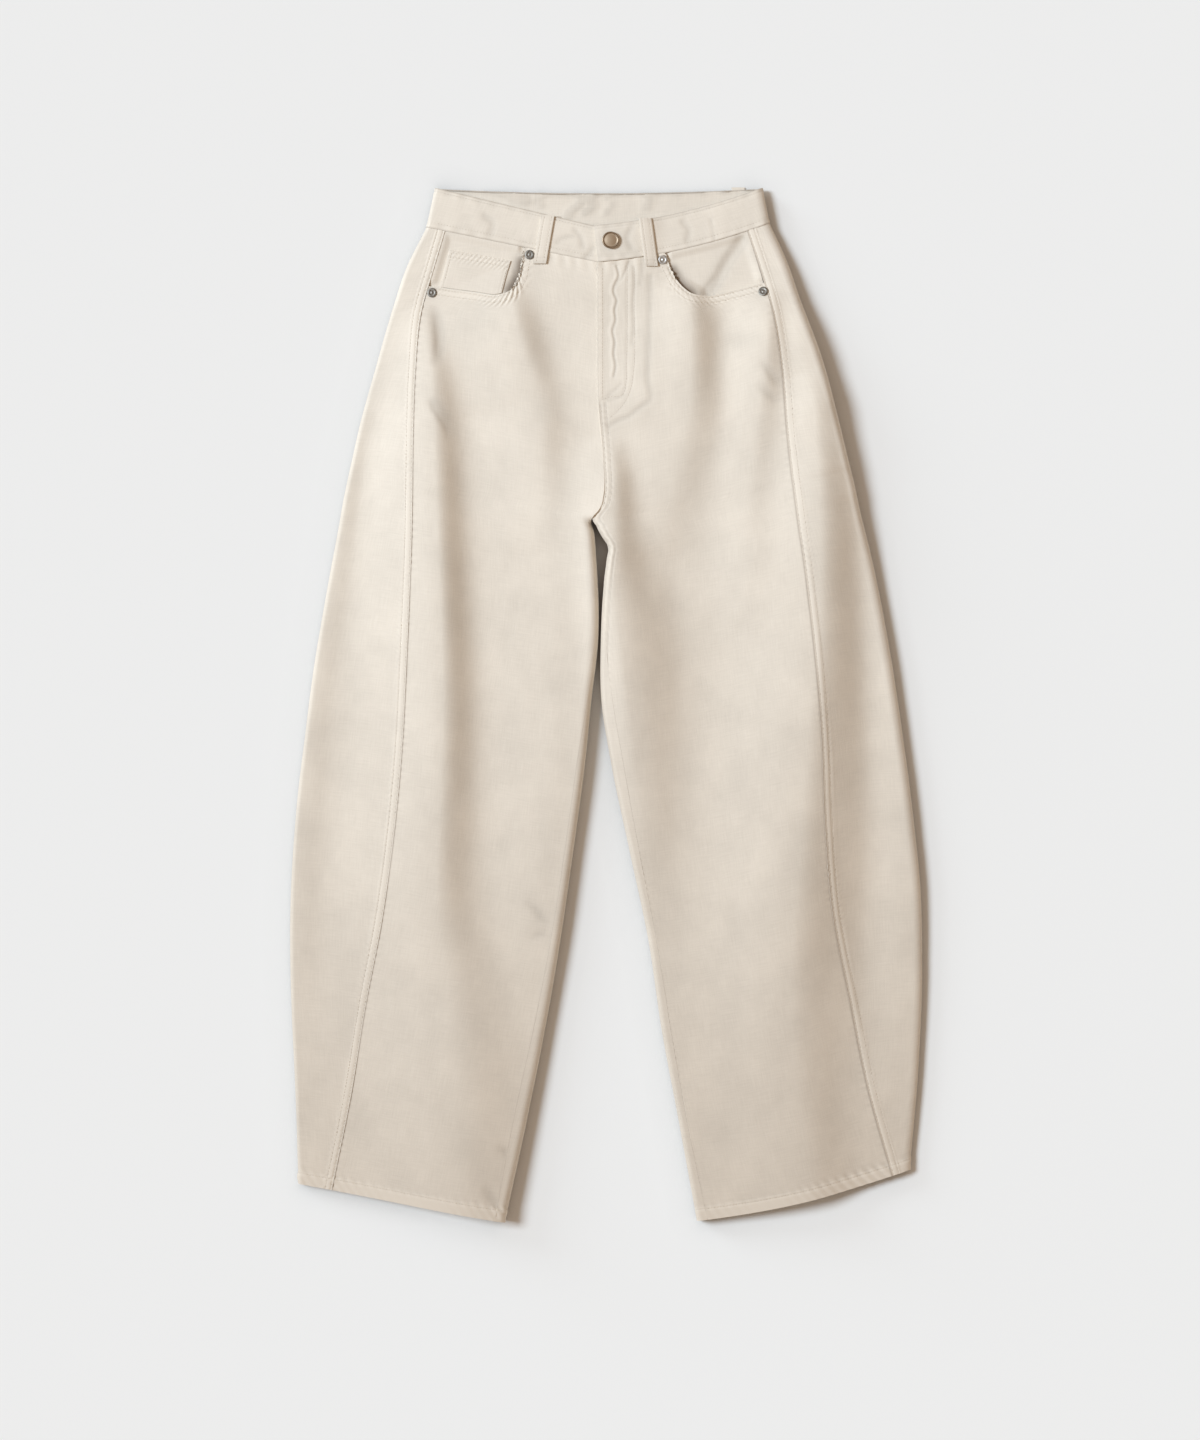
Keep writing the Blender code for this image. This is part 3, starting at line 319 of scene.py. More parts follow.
class Half:
    """One half of the garment: its sections, and where points of its panels lie. toward_centre is the sign
    of X from the outer edge to the centre. slants are how far the waist and the hem climb outwards, closes
    are the rows between which the inner edge closes, and rolls are the outer and inner edge's radii."""

    def __init__(self, sections, toward_centre, slants, bow, closes, rolls, mouth):
        rising = sections[::-1]
        keys = [s.inner_y for s in rising]
        self.hem_y, self.waist_y = keys[0], keys[-1]
        self.column = {
            name: curve_through(keys, [getattr(s, name) for s in rising])
            for name in ("outer", "seam", "inner", "inset", "rim", "middle", "inside")
        }
        self.toward_centre = toward_centre
        self.slants = slants
        self.bow = bow
        self.closes = closes
        self.outer_roll, self.roll = rolls
        seam_x = float(self.column["seam"](self.row_at(*mouth[0]))) + toward_centre * SEAM_GAP / 2
        self.mouth = ((seam_x, mouth[0][1]),) + mouth[1:]
        self.mouth_line = along(self.mouth, 1.0)

    def slant(self, row):
        share = (self.waist_y - row) / (self.waist_y - self.hem_y)
        return self.slants[0] + (self.slants[1] - self.slants[0]) * share

    def across(self, row, x):
        """The share of the way from the outer edge to the inner one."""
        outer = self.column["outer"](row)
        return np.clip((x - outer) / (self.column["inner"](row) - outer), 0, 1)

    def front_y(self, row, x):
        share = self.across(row, x)
        return row + self.slant(row) * (1 - share) - self.bow * 4 * share * (1 - share)

    def back_y(self, row, x):
        """The back rises higher than the front above the crotch, and meets it at the outer edge."""
        rise = (BACK_WAIST_Y - self.waist_y) * smooth(159, self.waist_y, row)
        return row + rise + (self.slant(row) - rise) * (1 - self.across(row, x))

    def row_at(self, x, y):
        """The section whose front passes through x, y."""
        row = np.asarray(y, float)
        for _ in range(4):
            row = np.clip(row + y - self.front_y(row, x), self.hem_y, self.waist_y)
        return row

    def base_height(self, row, x):
        share = self.across(row, x)
        return (
            self.column["rim"](row) * 2 * (share - 0.5) * (share - 1)
            + self.column["middle"](row) * 4 * share * (1 - share)
            + self.column["inside"](row) * 2 * share * (share - 0.5)
        )

    def fly_lift(self, x, y):
        if self.toward_centre > 0:
            return 0.0
        return FLY_LIFT * smooth(FLY_LIFT_ENDS[1], FLY_LIFT_ENDS[0], x) * smooth(*FLY_FOOT, y)

    def top(self, x, y):
        """The height of the cloth's outer face at x, y, before its small creases."""
        free = self.base_height(self.row_at(x, y), x) + fold_height(MAIN_FOLDS, x, y) - LOWEST_TOP
        return LOWEST_TOP + (free + np.sqrt(free * free + SETTLE * SETTLE)) / 2 + self.fly_lift(x, y)

    def on_top(self, row, x):
        y = self.front_y(row, x)
        return np.stack([x, y, self.top(x, y)], -1)

    def closed(self, row):
        """0 above the crotch, where the halves meet, and 1 on the leg, where its inner edge rolls over."""
        return smooth(self.closes[0], self.closes[1], row)

    def inseam_reach(self, row):
        """How far the inseam lies past the inner edge's outermost line, along the cloth and over the top."""
        inset = np.maximum(self.column["inset"](row), 0)
        rolled = self.roll * np.arccos(np.clip(1 - inset / self.roll, -1, 1))
        return np.where(inset < self.roll, rolled, self.roll * math.pi / 2 + inset - self.roll)

    def rolled_edge(self, row, reach):
        """A point on the leg's inner edge, by its distance up along the cloth from the outermost line."""
        d = self.toward_centre
        edge = self.column["inner"](row)
        quarter = self.roll * math.pi / 2
        flat = self.on_top(row, edge - d * (self.roll + np.maximum(reach - quarter, 0)))
        centre = edge - d * self.roll
        half = self.on_top(row, centre)[..., 2] / 2
        angle = np.clip(reach / self.roll, -math.pi / 2, math.pi / 2)
        x = centre + d * self.roll * np.cos(angle)
        round_part = np.stack([x, self.front_y(row, x), half + half * np.sin(angle)], -1)
        return np.where((reach >= quarter)[..., None], flat, round_part)

    def front_point(self, row, share):
        """A point of the front panel: share runs from the outer seam to the centre seam or inseam."""
        d = self.toward_centre
        start = self.column["seam"](row) + d * SEAM_GAP / 2
        edge = self.column["inner"](row)
        opened = self.on_top(row, start + share * (edge - d * SEAM_GAP / 2 - start))
        flat = np.abs(edge - start) - self.roll
        quarter = self.roll * math.pi / 2
        walked = share * (flat + quarter - self.inseam_reach(row) - SEAM_GAP / 2)
        level = self.on_top(row, start + d * np.minimum(walked, flat))
        rolled = self.rolled_edge(row, quarter - np.maximum(walked - flat, 0))
        turned = np.where((walked <= flat)[..., None], level, rolled)
        return opened + (turned - opened) * self.closed(row)[..., None]

    def mouth_point(self, share):
        """A point on the front panel's top edge: the pocket mouth, then the waist seam to the centre."""
        d = self.toward_centre
        marks = np.linspace(0, MOUTH_SHARE, len(self.mouth_line))
        on_mouth = np.stack([np.interp(share, marks, column) for column in self.mouth_line.T], -1)
        rest = np.clip((share - MOUTH_SHARE) / (1 - MOUTH_SHARE), 0, 1)
        start = self.mouth[-1][0]
        end = float(self.column["inner"](self.waist_y)) - d * SEAM_GAP / 2
        x = start + (end - start) * rest
        on_seam = np.stack([x, self.front_y(self.waist_y, x) - SEAM_GAP / 2], -1)
        return np.where((share <= MOUTH_SHARE)[..., None], on_mouth, on_seam)

    def front_panel_point(self, row, share, climb):
        """As front_point, but climb closes the rows above MOUTH_ROW up to the pocket mouth and waist seam."""
        foot = self.front_point(row, share)
        head = self.mouth_point(share)
        flat = foot[..., :2] + (head - foot[..., :2]) * climb[..., None]
        risen = np.concatenate([flat, self.top(flat[..., 0], flat[..., 1])[..., None]], -1)
        return np.where((climb > 0)[..., None], risen, foot)

    def back_point(self, row, column):
        """A point of the back panel. A column's whole number is its stretch of the section, from the outer
        seam on: on top, round the outer edge, underneath, and round the inner edge. The rest is its share."""
        d = self.toward_centre
        stretch = np.minimum(np.floor(column), 3)
        share = column - stretch
        outer = self.column["outer"](row)
        seam = self.column["seam"](row) - d * SEAM_GAP / 2
        roll_x = outer + d * self.outer_roll
        edge = self.column["inner"](row)
        under_end = edge - d * self.roll

        on_top = self.on_top(row, seam + (roll_x - seam) * share)

        half = self.on_top(row, roll_x)[..., 2] / 2
        angle = math.pi / 2 - math.pi * share
        x = roll_x - d * self.outer_roll * np.cos(angle)
        y_top, y_under = self.front_y(row, x), self.back_y(row, x)
        round_outer = np.stack([x, y_top + (y_under - y_top) * share, half + half * np.sin(angle)], -1)

        x = roll_x + (under_end - roll_x) * share
        under = np.stack([x, self.back_y(row, x), np.zeros_like(x)], -1)

        x = under_end + (edge - d * SEAM_GAP / 2 - under_end) * share
        opened = np.stack([x, self.back_y(row, x), np.zeros_like(x)], -1)
        total = self.roll * math.pi / 2 + self.inseam_reach(row) - SEAM_GAP / 2
        rolled = self.rolled_edge(row, share * total - self.roll * math.pi / 2)
        round_inner = opened + (rolled - opened) * self.closed(row)[..., None]

        stretch = stretch[..., None]
        return np.where(stretch == 0, on_top, np.where(stretch == 1, round_outer,
                        np.where(stretch == 2, under, round_inner)))


RIGHT = Half(RIGHT_SECTIONS, 1, slants=(35.0, 38.0), bow=0.0, closes=(187, 178), rolls=(4.0, 8.0),
             mouth=RIGHT_MOUTH)
LEFT = Half(LEFT_SECTIONS, -1, slants=(39.0, 51.0), bow=6.0, closes=(185, 172), rolls=(8.0, 5.0),
            mouth=LEFT_MOUTH)


def band_front_y(half, x, height):
    """Y on the waistband's front, from the waist seam at height 0 to its top edge at height 1."""
    low = half.front_y(half.waist_y, x) + SEAM_GAP / 2
    side_x = BAND_TOP_RIGHT_X if half is RIGHT else BAND_TOP_LEFT_X
    share = np.clip((x - side_x) / (BAND_TOP_CENTRE[0] - side_x), 0, 1)
    high = BAND_TOP_SIDE_Y + (BAND_TOP_CENTRE[1] - BAND_TOP_SIDE_Y) * share
    high -= half.bow * 4 * share * (1 - share)
    return low + (high - low) * height


def band_side_x(half, height):
    low = half.column["outer"](half.waist_y)
    high = BAND_TOP_RIGHT_X if half is RIGHT else BAND_TOP_LEFT_X
    return low + (high - low) * height


def band_back_y(x, height):
    right_x, left_x = band_side_x(RIGHT, height), band_side_x(LEFT, height)
    share = (x - right_x) / (left_x - right_x)
    dip = BACK_DIP * 4 * share * (1 - share)
    seam_y = np.where(x < FLY_EDGE_X, RIGHT.back_y(RIGHT.waist_y, x), LEFT.back_y(LEFT.waist_y, x))
    low = seam_y + SEAM_GAP / 2
    return low + (BAND_TOP_SIDE_Y - dip - low) * height


def band_lift(x):
    return BAND_LIFT * smooth(FLY_LIFT_ENDS[1], FLY_LIFT_ENDS[0], x)


def band_top(half, x):
    """The height of the waistband's outer face on the front, where nothing lies under it."""
    return half.base_height(half.waist_y, x) + BAND_PROUD


def band_point(height, column):
    """A point of the waistband. A column's whole number is its stretch: right front from its underlap, right
    side, back, left side and left front. The rest is its share of that stretch."""
    stretch = np.minimum(np.floor(column), 4)
    share = column - stretch
    picked = []
    for number in range(5):
        half = RIGHT if number < 2 else LEFT
        d = half.toward_centre
        roll_x = band_side_x(half, height) + d * half.outer_roll
        if number in (0, 4):
            end = UNDERLAP_X if half is RIGHT else FLY_EDGE_X + (BAND_TOP_CENTRE[0] - FLY_EDGE_X) * height
            x = end + (roll_x - end) * (share if half is RIGHT else 1 - share)
            if half is RIGHT:
                past = x > FLY_EDGE_X
                y = np.where(past, band_front_y(LEFT, x, height), band_front_y(RIGHT, x, height))
                z = np.where(past, band_top(LEFT, x), band_top(RIGHT, x))
            else:
                y = band_front_y(LEFT, x, height)
                z = band_top(LEFT, x) + band_lift(x)
        elif number in (1, 3):
            turn = share if half is RIGHT else 1 - share
            angle = math.pi / 2 - math.pi * turn
            x = roll_x - d * half.outer_roll * np.cos(angle)
            y = band_front_y(half, x, height) * (1 - turn) + band_back_y(x, height) * turn
            high = band_top(half, roll_x)
            z = (high + BAND_REST) / 2 + (high - BAND_REST) / 2 * np.sin(angle)
        else:
            left_x = band_side_x(LEFT, height) - LEFT.outer_roll
            right_x = band_side_x(RIGHT, height) + RIGHT.outer_roll
            x = right_x + (left_x - right_x) * share
            y = band_back_y(x, height)
            z = np.full_like(x, BAND_REST)
        picked.append(np.stack([x, y, z], -1))
    return np.select([(stretch == number)[..., None] for number in range(5)], picked)


def normals_of(points, outwards):
    """Unit normals of a grid of points; outwards is 1 or -1."""
    across = np.gradient(points, axis=1)
    up = np.gradient(points, axis=0)
    normal = np.cross(across, up) * outwards
    return normal / np.maximum(np.linalg.norm(normal, axis=-1, keepdims=True), 1e-9)


def lengths_of(points):
    """How far each grid point lies along its row and along its column, for a map of the cloth."""
    across = np.linalg.norm(np.diff(points, axis=1), axis=-1)
    up = np.linalg.norm(np.diff(points, axis=0), axis=-1)
    u = np.concatenate([np.zeros((len(points), 1)), np.cumsum(across, 1)], 1)
    v = np.concatenate([np.zeros((1, points.shape[1])), np.cumsum(up, 0)], 0)
    return u - u.mean(1, keepdims=True), v


def placed(name, mesh, material):
    mesh.materials.append(material)
    piece = bpy.data.objects.new(name, mesh)
    bpy.context.scene.collection.objects.link(piece)
    return piece


def smooth_piece(name, shape, material):
    mesh = bpy.data.meshes.new(name)
    shape.to_mesh(mesh)
    shape.free()
    mesh.shade_smooth()
    return placed(name, mesh, material)


# Each cloth piece's outer face, as its points and their normals
SURFACES = {}


def cloth_piece(name, points, detail, outwards, wall, material, shade=None):
    """A sheet of cloth over a grid of points, raised by detail along its normals, with a wall's thickness.
    shade is painted shade: how far its colour turns dark brown where it lies deep in a gap that hardly any
    light reaches."""
    rows, columns = points.shape[:2]
    raised = points + normals_of(points, outwards) * detail[..., None]
    raised[..., 2] = np.maximum(raised[..., 2], points[..., 2].min())
    SURFACES[name] = (raised.reshape(-1, 3), normals_of(raised, outwards).reshape(-1, 3))
    shape = bmesh.new()
    bmesh.ops.create_grid(shape, x_segments=columns - 1, y_segments=rows - 1, size=0.5)
    for edge in shape.edges:
        edge.smooth = not edge.is_boundary
    mesh = bpy.data.meshes.new(name)
    shape.to_mesh(mesh)
    shape.free()
    grid = np.empty(len(mesh.vertices) * 3)
    mesh.vertices.foreach_get("co", grid)
    grid = grid.reshape(-1, 3)
    down = np.rint((grid[:, 1] + 0.5) * (rows - 1)).astype(int)
    right = np.rint((grid[:, 0] + 0.5) * (columns - 1)).astype(int)
    mesh.vertices.foreach_set("co", (raised[down, right] * MM).ravel())
    u, v = lengths_of(points)
    corner = np.empty(len(mesh.loops), int)
    mesh.loops.foreach_get("vertex_index", corner)
    cloth_map = mesh.uv_layers.new(name="cloth")
    flat = np.stack([u[down, right], v[down, right]], -1)[corner] * MM
    cloth_map.data.foreach_set("uv", flat.ravel())
    relief = mesh.attributes.new("relief", "FLOAT", "POINT")
    relief.data.foreach_set("value", detail[down, right])
    # The painted shade goes into the deep attribute, which the cloth's material mixes toward dark brown
    if shade is not None:
        deep = mesh.attributes.new("deep", "FLOAT", "POINT")
        deep.data.foreach_set("value", shade[down, right])
    if outwards < 0:
        mesh.flip_normals()
    mesh.shade_smooth()
    piece = placed(name, mesh, material)
    solid = piece.modifiers.new("Wall", "SOLIDIFY")
    solid.thickness = wall * MM
    solid.offset = -1.0
    cells = np.cross(np.diff(points, axis=1)[:-1], np.diff(points, axis=0)[:, :-1])
    area = float(np.sum(np.linalg.norm(cells, axis=-1))) * MM * MM
    return piece, area


def finish_piece(piece, slot, *nodes):
    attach(piece, "root")
    if nodes:
        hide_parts(*nodes)


def ripple(distance, pitch, seed):
    """An uneven ripple along a seam, from -1 to 1."""
    turns = distance / pitch
    bend = 0.9 * np.sin(turns / 2.7 + seed) + 0.6 * np.sin(turns / 1.3 + 2.1 * seed)
    strength = 0.62 + 0.38 * np.sin(turns / 4.1 + 3.3 * seed)
    return np.sin(2 * math.pi * turns + bend) * strength


def rough_cloth(x, y, seed):
    """Soft unevenness of cloth that has been washed and handled."""
    flat = np.stack([x, y], -1).reshape(-1, 2)
    values = [
        0.30 * noise.noise(Vector((px / 46, py / 70, seed)))
        + 0.13 * noise.noise(Vector((px / 15, py / 22, seed + 7)))
        + 0.05 * noise.noise(Vector((px / 6, py / 7, seed + 13)))
        for px, py in flat
    ]
    return np.array(values).reshape(x.shape)


def band_relief(distance, run, width, height, seed, pitch=7.5, strong=1.0):
    """A sewn band beside an edge: raised to width, with a trough along each row of stitches and puckers."""
    inside = smooth(width + 0.9, width - 0.5, distance) * smooth(-2.0, -0.5, distance)
    troughs = 0.52 * (bump(1.7, 0.9, distance) + bump(width - 1.4, 0.9, distance)) * inside
    spread = smooth(width + 6, width - 2, distance) * smooth(-3, 2, distance)
    puckers = 0.42 * strong * ripple(run + 0.9 * distance, pitch, seed) * spread
    return height * inside - troughs + puckers


def hem_relief(above, run, seed):
    """The turned hem: thicker, with a row of stitches along its top and the slanting ripples they pull."""
    inside = smooth(HEM_DEPTH + 0.8, HEM_DEPTH - 0.6, above)
    trough = 0.60 * bump(HEM_DEPTH - 1.4, 1.0, above)
    slanting = 0.62 * ripple(run + above * 0.8, 9.5, seed) * smooth(HEM_DEPTH + 7, HEM_DEPTH - 2, above)
    return 0.75 * inside - trough + slanting


# Narrow lines in the cloth of the fly: how wide, how deep, and where
FLY_LINES = {
    "inner topstitch": (1.2, 0.40, ((22, 438), (22, 400), (21.5, 340), (21, 322), (17, 309), (4, 307),
                                    (-6, 303.5))),
    "outer topstitch": (1.2, 0.30, ((29, 437), (29, 400), (28, 330), (26, 317), (19, 301), (10, 291),
                                    (3, 285))),
    "shield edge": (2.6, 0.75, ((45, 428), (45, 404), (44, 374), (43, 324), (44, 303), (35, 296.5),
                                (24, 288), (12, 283), (4, 278))),
    "zip": (1.1, 0.9, ((12, 438), (14, 428), (10, 419), (9, 412), (12, 404), (10, 394), (11, 384),
                       (8, 374), (10, 362), (9, 350), (11, 338), (9, 328))),
    "zip head": (1.3, 0.5, ((24, 442), (21, 434), (17, 426), (12, 420))),
    "beside the zip": (1.8, 0.4, ((29, 437), (30, 420), (28, 404), (29, 380), (27, 360))),
    "beside the shield": (1.6, 0.45, ((37, 440), (36.5, 430), (35, 420))),
    "foot crease, rising": (1.3, 0.55, ((17, 321), (10, 314), (3, 309))),
    "foot crease, level": (1.2, 0.4, ((3, 303.5), (11, 305.5), (19, 309))),
}
BAR_TACK_Y = 304.0
LADDER_Y = (298.0, 291.5, 286.0, 280.0)
FELLED = 8.6


def near_line(points, x, y, width):
    away, _, _ = nearest_on(along(points, 1.5), x, y)
    return bump(0, width, away)


def front_relief(half, points, row, share):
    """Everything sewn or creased on a front panel that is too fine for the section and the folds."""
    x, y = points[..., 0], points[..., 1]
    seed = 1.0 if half is RIGHT else 4.0
    total = fold_height(SMALL_FOLDS, x, y) + rough_cloth(x, y, seed)
    away, run, _ = nearest_on(half.mouth_line, x, y)
    below = (y < np.interp(x * half.toward_centre, half.mouth_line[:, 0] * half.toward_centre,
                           half.mouth_line[:, 1]) + 0.5)
    strong = 1 + 0.7 * bump(107 if half is LEFT else -107, 24, x)
    total += np.where(below | (away < 0.8), band_relief(away, run, SEAM_BAND, 0.4, seed, 5.0, strong), 0)
    total += hem_relief(row - half.hem_y, x, seed)
    from_seam = np.abs(x - half.column["seam"](row))
    total += 0.38 * ripple(y, 8.0, seed) * smooth(8, 0, from_seam)
    below_waist = half.front_y(half.waist_y, x) - y
    total += 0.42 * ripple(x, 13.0, seed) * smooth(18, 2, below_waist)
    total += 0.45 * smooth(5, 0.5, below_waist)
    if half is LEFT:
        total += fly_relief(x, y, x - half.column["inner"](row))
    return total


def fly_relief(x, y, from_centre):
    """The fly's lap and its stitching, the zip that shows through it, and the felled seam below."""
    total = np.zeros_like(x)
    for width, depth, path in FLY_LINES.values():
        total -= depth * near_line(path, x, y, width)
    total += 0.4 * near_line([(px - 2.6, py) for px, py in FLY_LINES["zip"][2]], x, y, 1.8)
    upper = smooth(BAR_TACK_Y - 6, BAR_TACK_Y + 4, y)
    lap = smooth(5.6, 4.4, from_centre)
    total += upper * (0.4 * lap - 0.25 * bump(4.2, 0.8, from_centre) + 0.2 * ripple(y, 7.0, 2.0) * lap)
    total += 0.3 * upper * rough_cloth(x * 3, y * 1.5, 55.0) * smooth(52, 40, from_centre)
    felled = band_relief(from_centre, y, FELLED, 0.25, 6.0, 7.0) - 0.25 * bump(7.2, 1.0, from_centre)
    total += (1 - upper) * felled
    for rung in LADDER_Y:
        total -= 0.6 * bump(rung, 1.5, y) * smooth(9, 7, from_centre)
    return total


def seam_shade(half, points, row):
    """Painted shade: a thin darker line where the front and back panels meet at the outer seam, in place of
    the shadow in the gap between them.
    """
    return SEAM_SHADE * bump(0, 0.8, np.abs(points[..., 0] - half.column["seam"](row)))


def gap_shade(half, points, row):
    """Painted shade: dark on the two walls of the narrow gap below the crotch, deepest at their foot, where
    shadow falls.
    """
    from_edge = np.abs(points[..., 0] - half.column["inner"](row))
    lower = smooth(13, 7, points[..., 2]) * smooth(8, 3, from_edge)
    return lower * smooth(196, 184, row) * smooth(20, 90, row)


def front_panel(half, name, material):
    """Columns run from the outer seam to the centre; rows from the hem to the pocket mouth and waist seam."""
    edge = np.array([0.0, 0.7, 1.6, 2.8, 4.4, 6.4, 8.8]) / 240.0
    at_mouth = np.linspace(0.045, 0.555, 64)
    beyond = np.linspace(0.57, 0.74, 11)
    near_centre = np.linspace(0.752, 1 - edge[-1], 32 if half is LEFT else 14)
    shares = np.concatenate([edge, at_mouth, beyond, near_centre, 1 - edge[-2::-1]])
    rows = np.concatenate([half.hem_y + HEM_ROWS, np.arange(half.hem_y + HEM_PAST, 240, 3.6),
                           np.arange(241, MOUTH_ROW - 1.5, 2.2), [MOUTH_ROW]])
    climbs = 1 - (1 - np.linspace(0, 1, 56)[1:]) ** 1.35
    row, share = np.meshgrid(np.concatenate([rows, np.full(len(climbs), MOUTH_ROW)]), shares, indexing="ij")
    climb = np.broadcast_to(np.concatenate([np.zeros(len(rows)), climbs])[:, None], row.shape)
    points = half.front_panel_point(row, share, climb)
    detail = front_relief(half, points, row, share)
    shade = np.maximum(gap_shade(half, points, row), seam_shade(half, points, row))
    piece, area = cloth_piece(name, points, detail, half.toward_centre, CLOTH, material, shade)
    finish_piece(piece, "ecru_twill", name)


def back_relief(half, points, row, column):
    x, y = points[..., 0], points[..., 1]
    seed = 9.0 if half is RIGHT else 14.0
    on_top = smooth(1.9, 1.2, column)
    total = (fold_height(SMALL_FOLDS, x, y) + rough_cloth(x, y, seed)) * on_top
    from_seam = (half.column["seam"](row) - x) * half.toward_centre
    total += band_relief(from_seam, y, SEAM_BAND, 0.5, seed, 6.6) * (column < 1)
    hem = hem_relief(row - half.hem_y, x, seed)
    total += np.where(column < 2, hem, np.where(column < 3, 0.0, hem * smooth(3.3, 3.7, column)))
    return total


def back_panel(half, name, material):
    """Columns run from the outer seam, round the outer edge, underneath and up to the inseam."""
    near = np.array([0, 0.9, 1.8, 3.2, 4.6, 6.0, 7.2, 8.0, 8.8, 9.6, 11]) / 100.0
    on_top = np.concatenate([near, np.linspace(0.15, 0.97, 26)])
    columns = np.concatenate([on_top, 1 + np.linspace(0, 1, 15)[:-1], 2 + np.linspace(0, 1, 26)[:-1],
                              3 + np.linspace(0, 1, 18)])
    rows = np.concatenate([half.hem_y + HEM_ROWS, np.arange(half.hem_y + HEM_PAST, half.waist_y - 1.5, 2.6),
                           [half.waist_y]])
    row, column = np.meshgrid(rows, columns, indexing="ij")
    points = half.back_point(row, column)
    points[..., 1] -= SEAM_GAP / 2 * smooth(half.waist_y - 10, half.waist_y, row)
    detail = back_relief(half, points, row, column)
    shade = np.where(column < 1, seam_shade(half, points, row), gap_shade(half, points, row) * (column > 3))
    piece, area = cloth_piece(name, points, detail, -half.toward_centre, CLOTH, material, shade)
    finish_piece(piece, "ecru_twill", name)


def mouth_rise(half, x, y):
    """How far a point is above the pocket mouth's line, and how far along that line it is."""
    away, run, _ = nearest_on(half.mouth_line, x, y)
    d = half.toward_centre
    line_y = np.interp(x * d, half.mouth_line[:, 0] * d, half.mouth_line[:, 1], right=999.0)
    return np.where(y > line_y, away, -away), run


def facing_top(half, x, y):
    """The height of the pocket facing: level with the seams it is sewn into, and lower at the mouth."""
    rise, _ = mouth_rise(half, x, y)
    row = half.row_at(x, y)
    from_side = (x - half.column["seam"](row)) * half.toward_centre
    from_waist = half.front_y(half.waist_y, x) - y
    sewn = smooth(9, 1, np.minimum(from_side, from_waist)) * smooth(0.8, 6, rise)
    return half.top(x, y) - (CLOTH + FACING_DROP) * (1 - sewn) - 0.1


def pocket_facing(half, name, material):
    """The piece in the pocket mouth, which runs on under the front panel."""
    d = half.toward_centre
    low = min(point[1] for point in half.mouth) - FACING_UNDERLAP
    inner = half.mouth[-1][0] + d * FACING_UNDERLAP
    height, share = np.meshgrid(np.linspace(0, 1, 46), np.linspace(0, 1, 76), indexing="ij")
    row = half.row_at(half.mouth[0][0], low)
    seam_low = float(half.column["seam"](row)) + d * SEAM_GAP
    seam_high = float(half.column["seam"](half.waist_y)) + d * SEAM_GAP
    outer = seam_low + (seam_high - seam_low) * height
    x = outer + (inner - outer) * share
    y = low + (half.front_y(half.waist_y, x) - SEAM_GAP / 2 - low) * height
    points = np.stack([x, y, facing_top(half, x, y)], -1)
    gape = near_line(half.mouth[3:6], x, y, 6.0)
    detail = 0.35 * rough_cloth(x, y, 21.0) - 1.6 * gape
    if half is LEFT:
        detail -= 2.0 * near_line(((136, 462), (122, 442), (112, 424), (103, 412)), x, y, 5.5)
    # Painted shade: the facing turns dark brown where it gapes under the mouth's curve
    piece, area = cloth_piece(name, points, detail, d, CLOTH, material, shade=0.8 * gape)
    finish_piece(piece, "ecru_twill", name)


def coin_pocket(name, material):
    half = RIGHT
    line = half.mouth_line
    height, share = np.meshgrid(np.linspace(0, 1, 36), np.linspace(0, 1, 60), indexing="ij")
    (x_outer, y_outer), (x_inner, y_inner) = COIN_TOP
    x = x_outer + (x_inner - x_outer) * share + COIN_LEAN * (1 - height)
    top = y_outer + (y_inner - y_outer) * share
    foot = np.interp(x, line[:, 0], line[:, 1]) + 1.2
    y = foot + (top - foot) * height
    points = np.stack([x, y, facing_top(half, x, y) + CLOTH + 0.15], -1)
    detail = 0.35 * rough_cloth(x, y, 25.0) + band_relief(top - y, x, 7.5, 0.2, 2.2, 4.5)
    from_side = np.minimum(share, 1 - share) * 62
    detail -= 0.25 * bump(3.0, 0.9, from_side) + 0.5 * smooth(1.5, 0, from_side)
    piece, area = cloth_piece(name, points, detail, 1, CLOTH, material)
    finish_piece(piece, "ecru_twill", name)


BACK_BAND_LINES = (
    (3.0, 0.9, ((-28, 512), (-22, 506), (-26, 500), (-34, 494), (-38, 488))),
    (3.0, 0.8, ((-8, 514), (-14, 507), (-12, 500), (-20, 492))),
    (2.5, 0.6, ((10, 513), (4, 508), (6, 500), (2, 492))),
    (4.0, 0.7, ((-60, 513), (-66, 506), (-64, 500))),
    (4.0, 0.6, ((38, 514), (44, 506), (42, 498))),
    (5.0, 0.8, ((-104, 514), (-92, 508), (-78, 504))),
)
FRONT_BAND_LINES = (
    (1.0, 0.35, ((106, 484), (108, 476), (109, 464))),
    (2.0, 0.6, ((-20, 446), (-15, 451), (-12, 456))),
    (2.2, 0.5, ((-48, 462), (-40, 467), (-32, 468))),
    (2.5, 0.5, ((-30, 474), (-24, 466), (-22, 458))),
    (2.5, 0.5, ((26, 476), (22, 466), (26, 456))),
    (3.0, 0.5, ((78, 482), (84, 474), (82, 464))),
    (3.0, 0.5, ((-120, 488), (-112, 480), (-114, 472))),
)


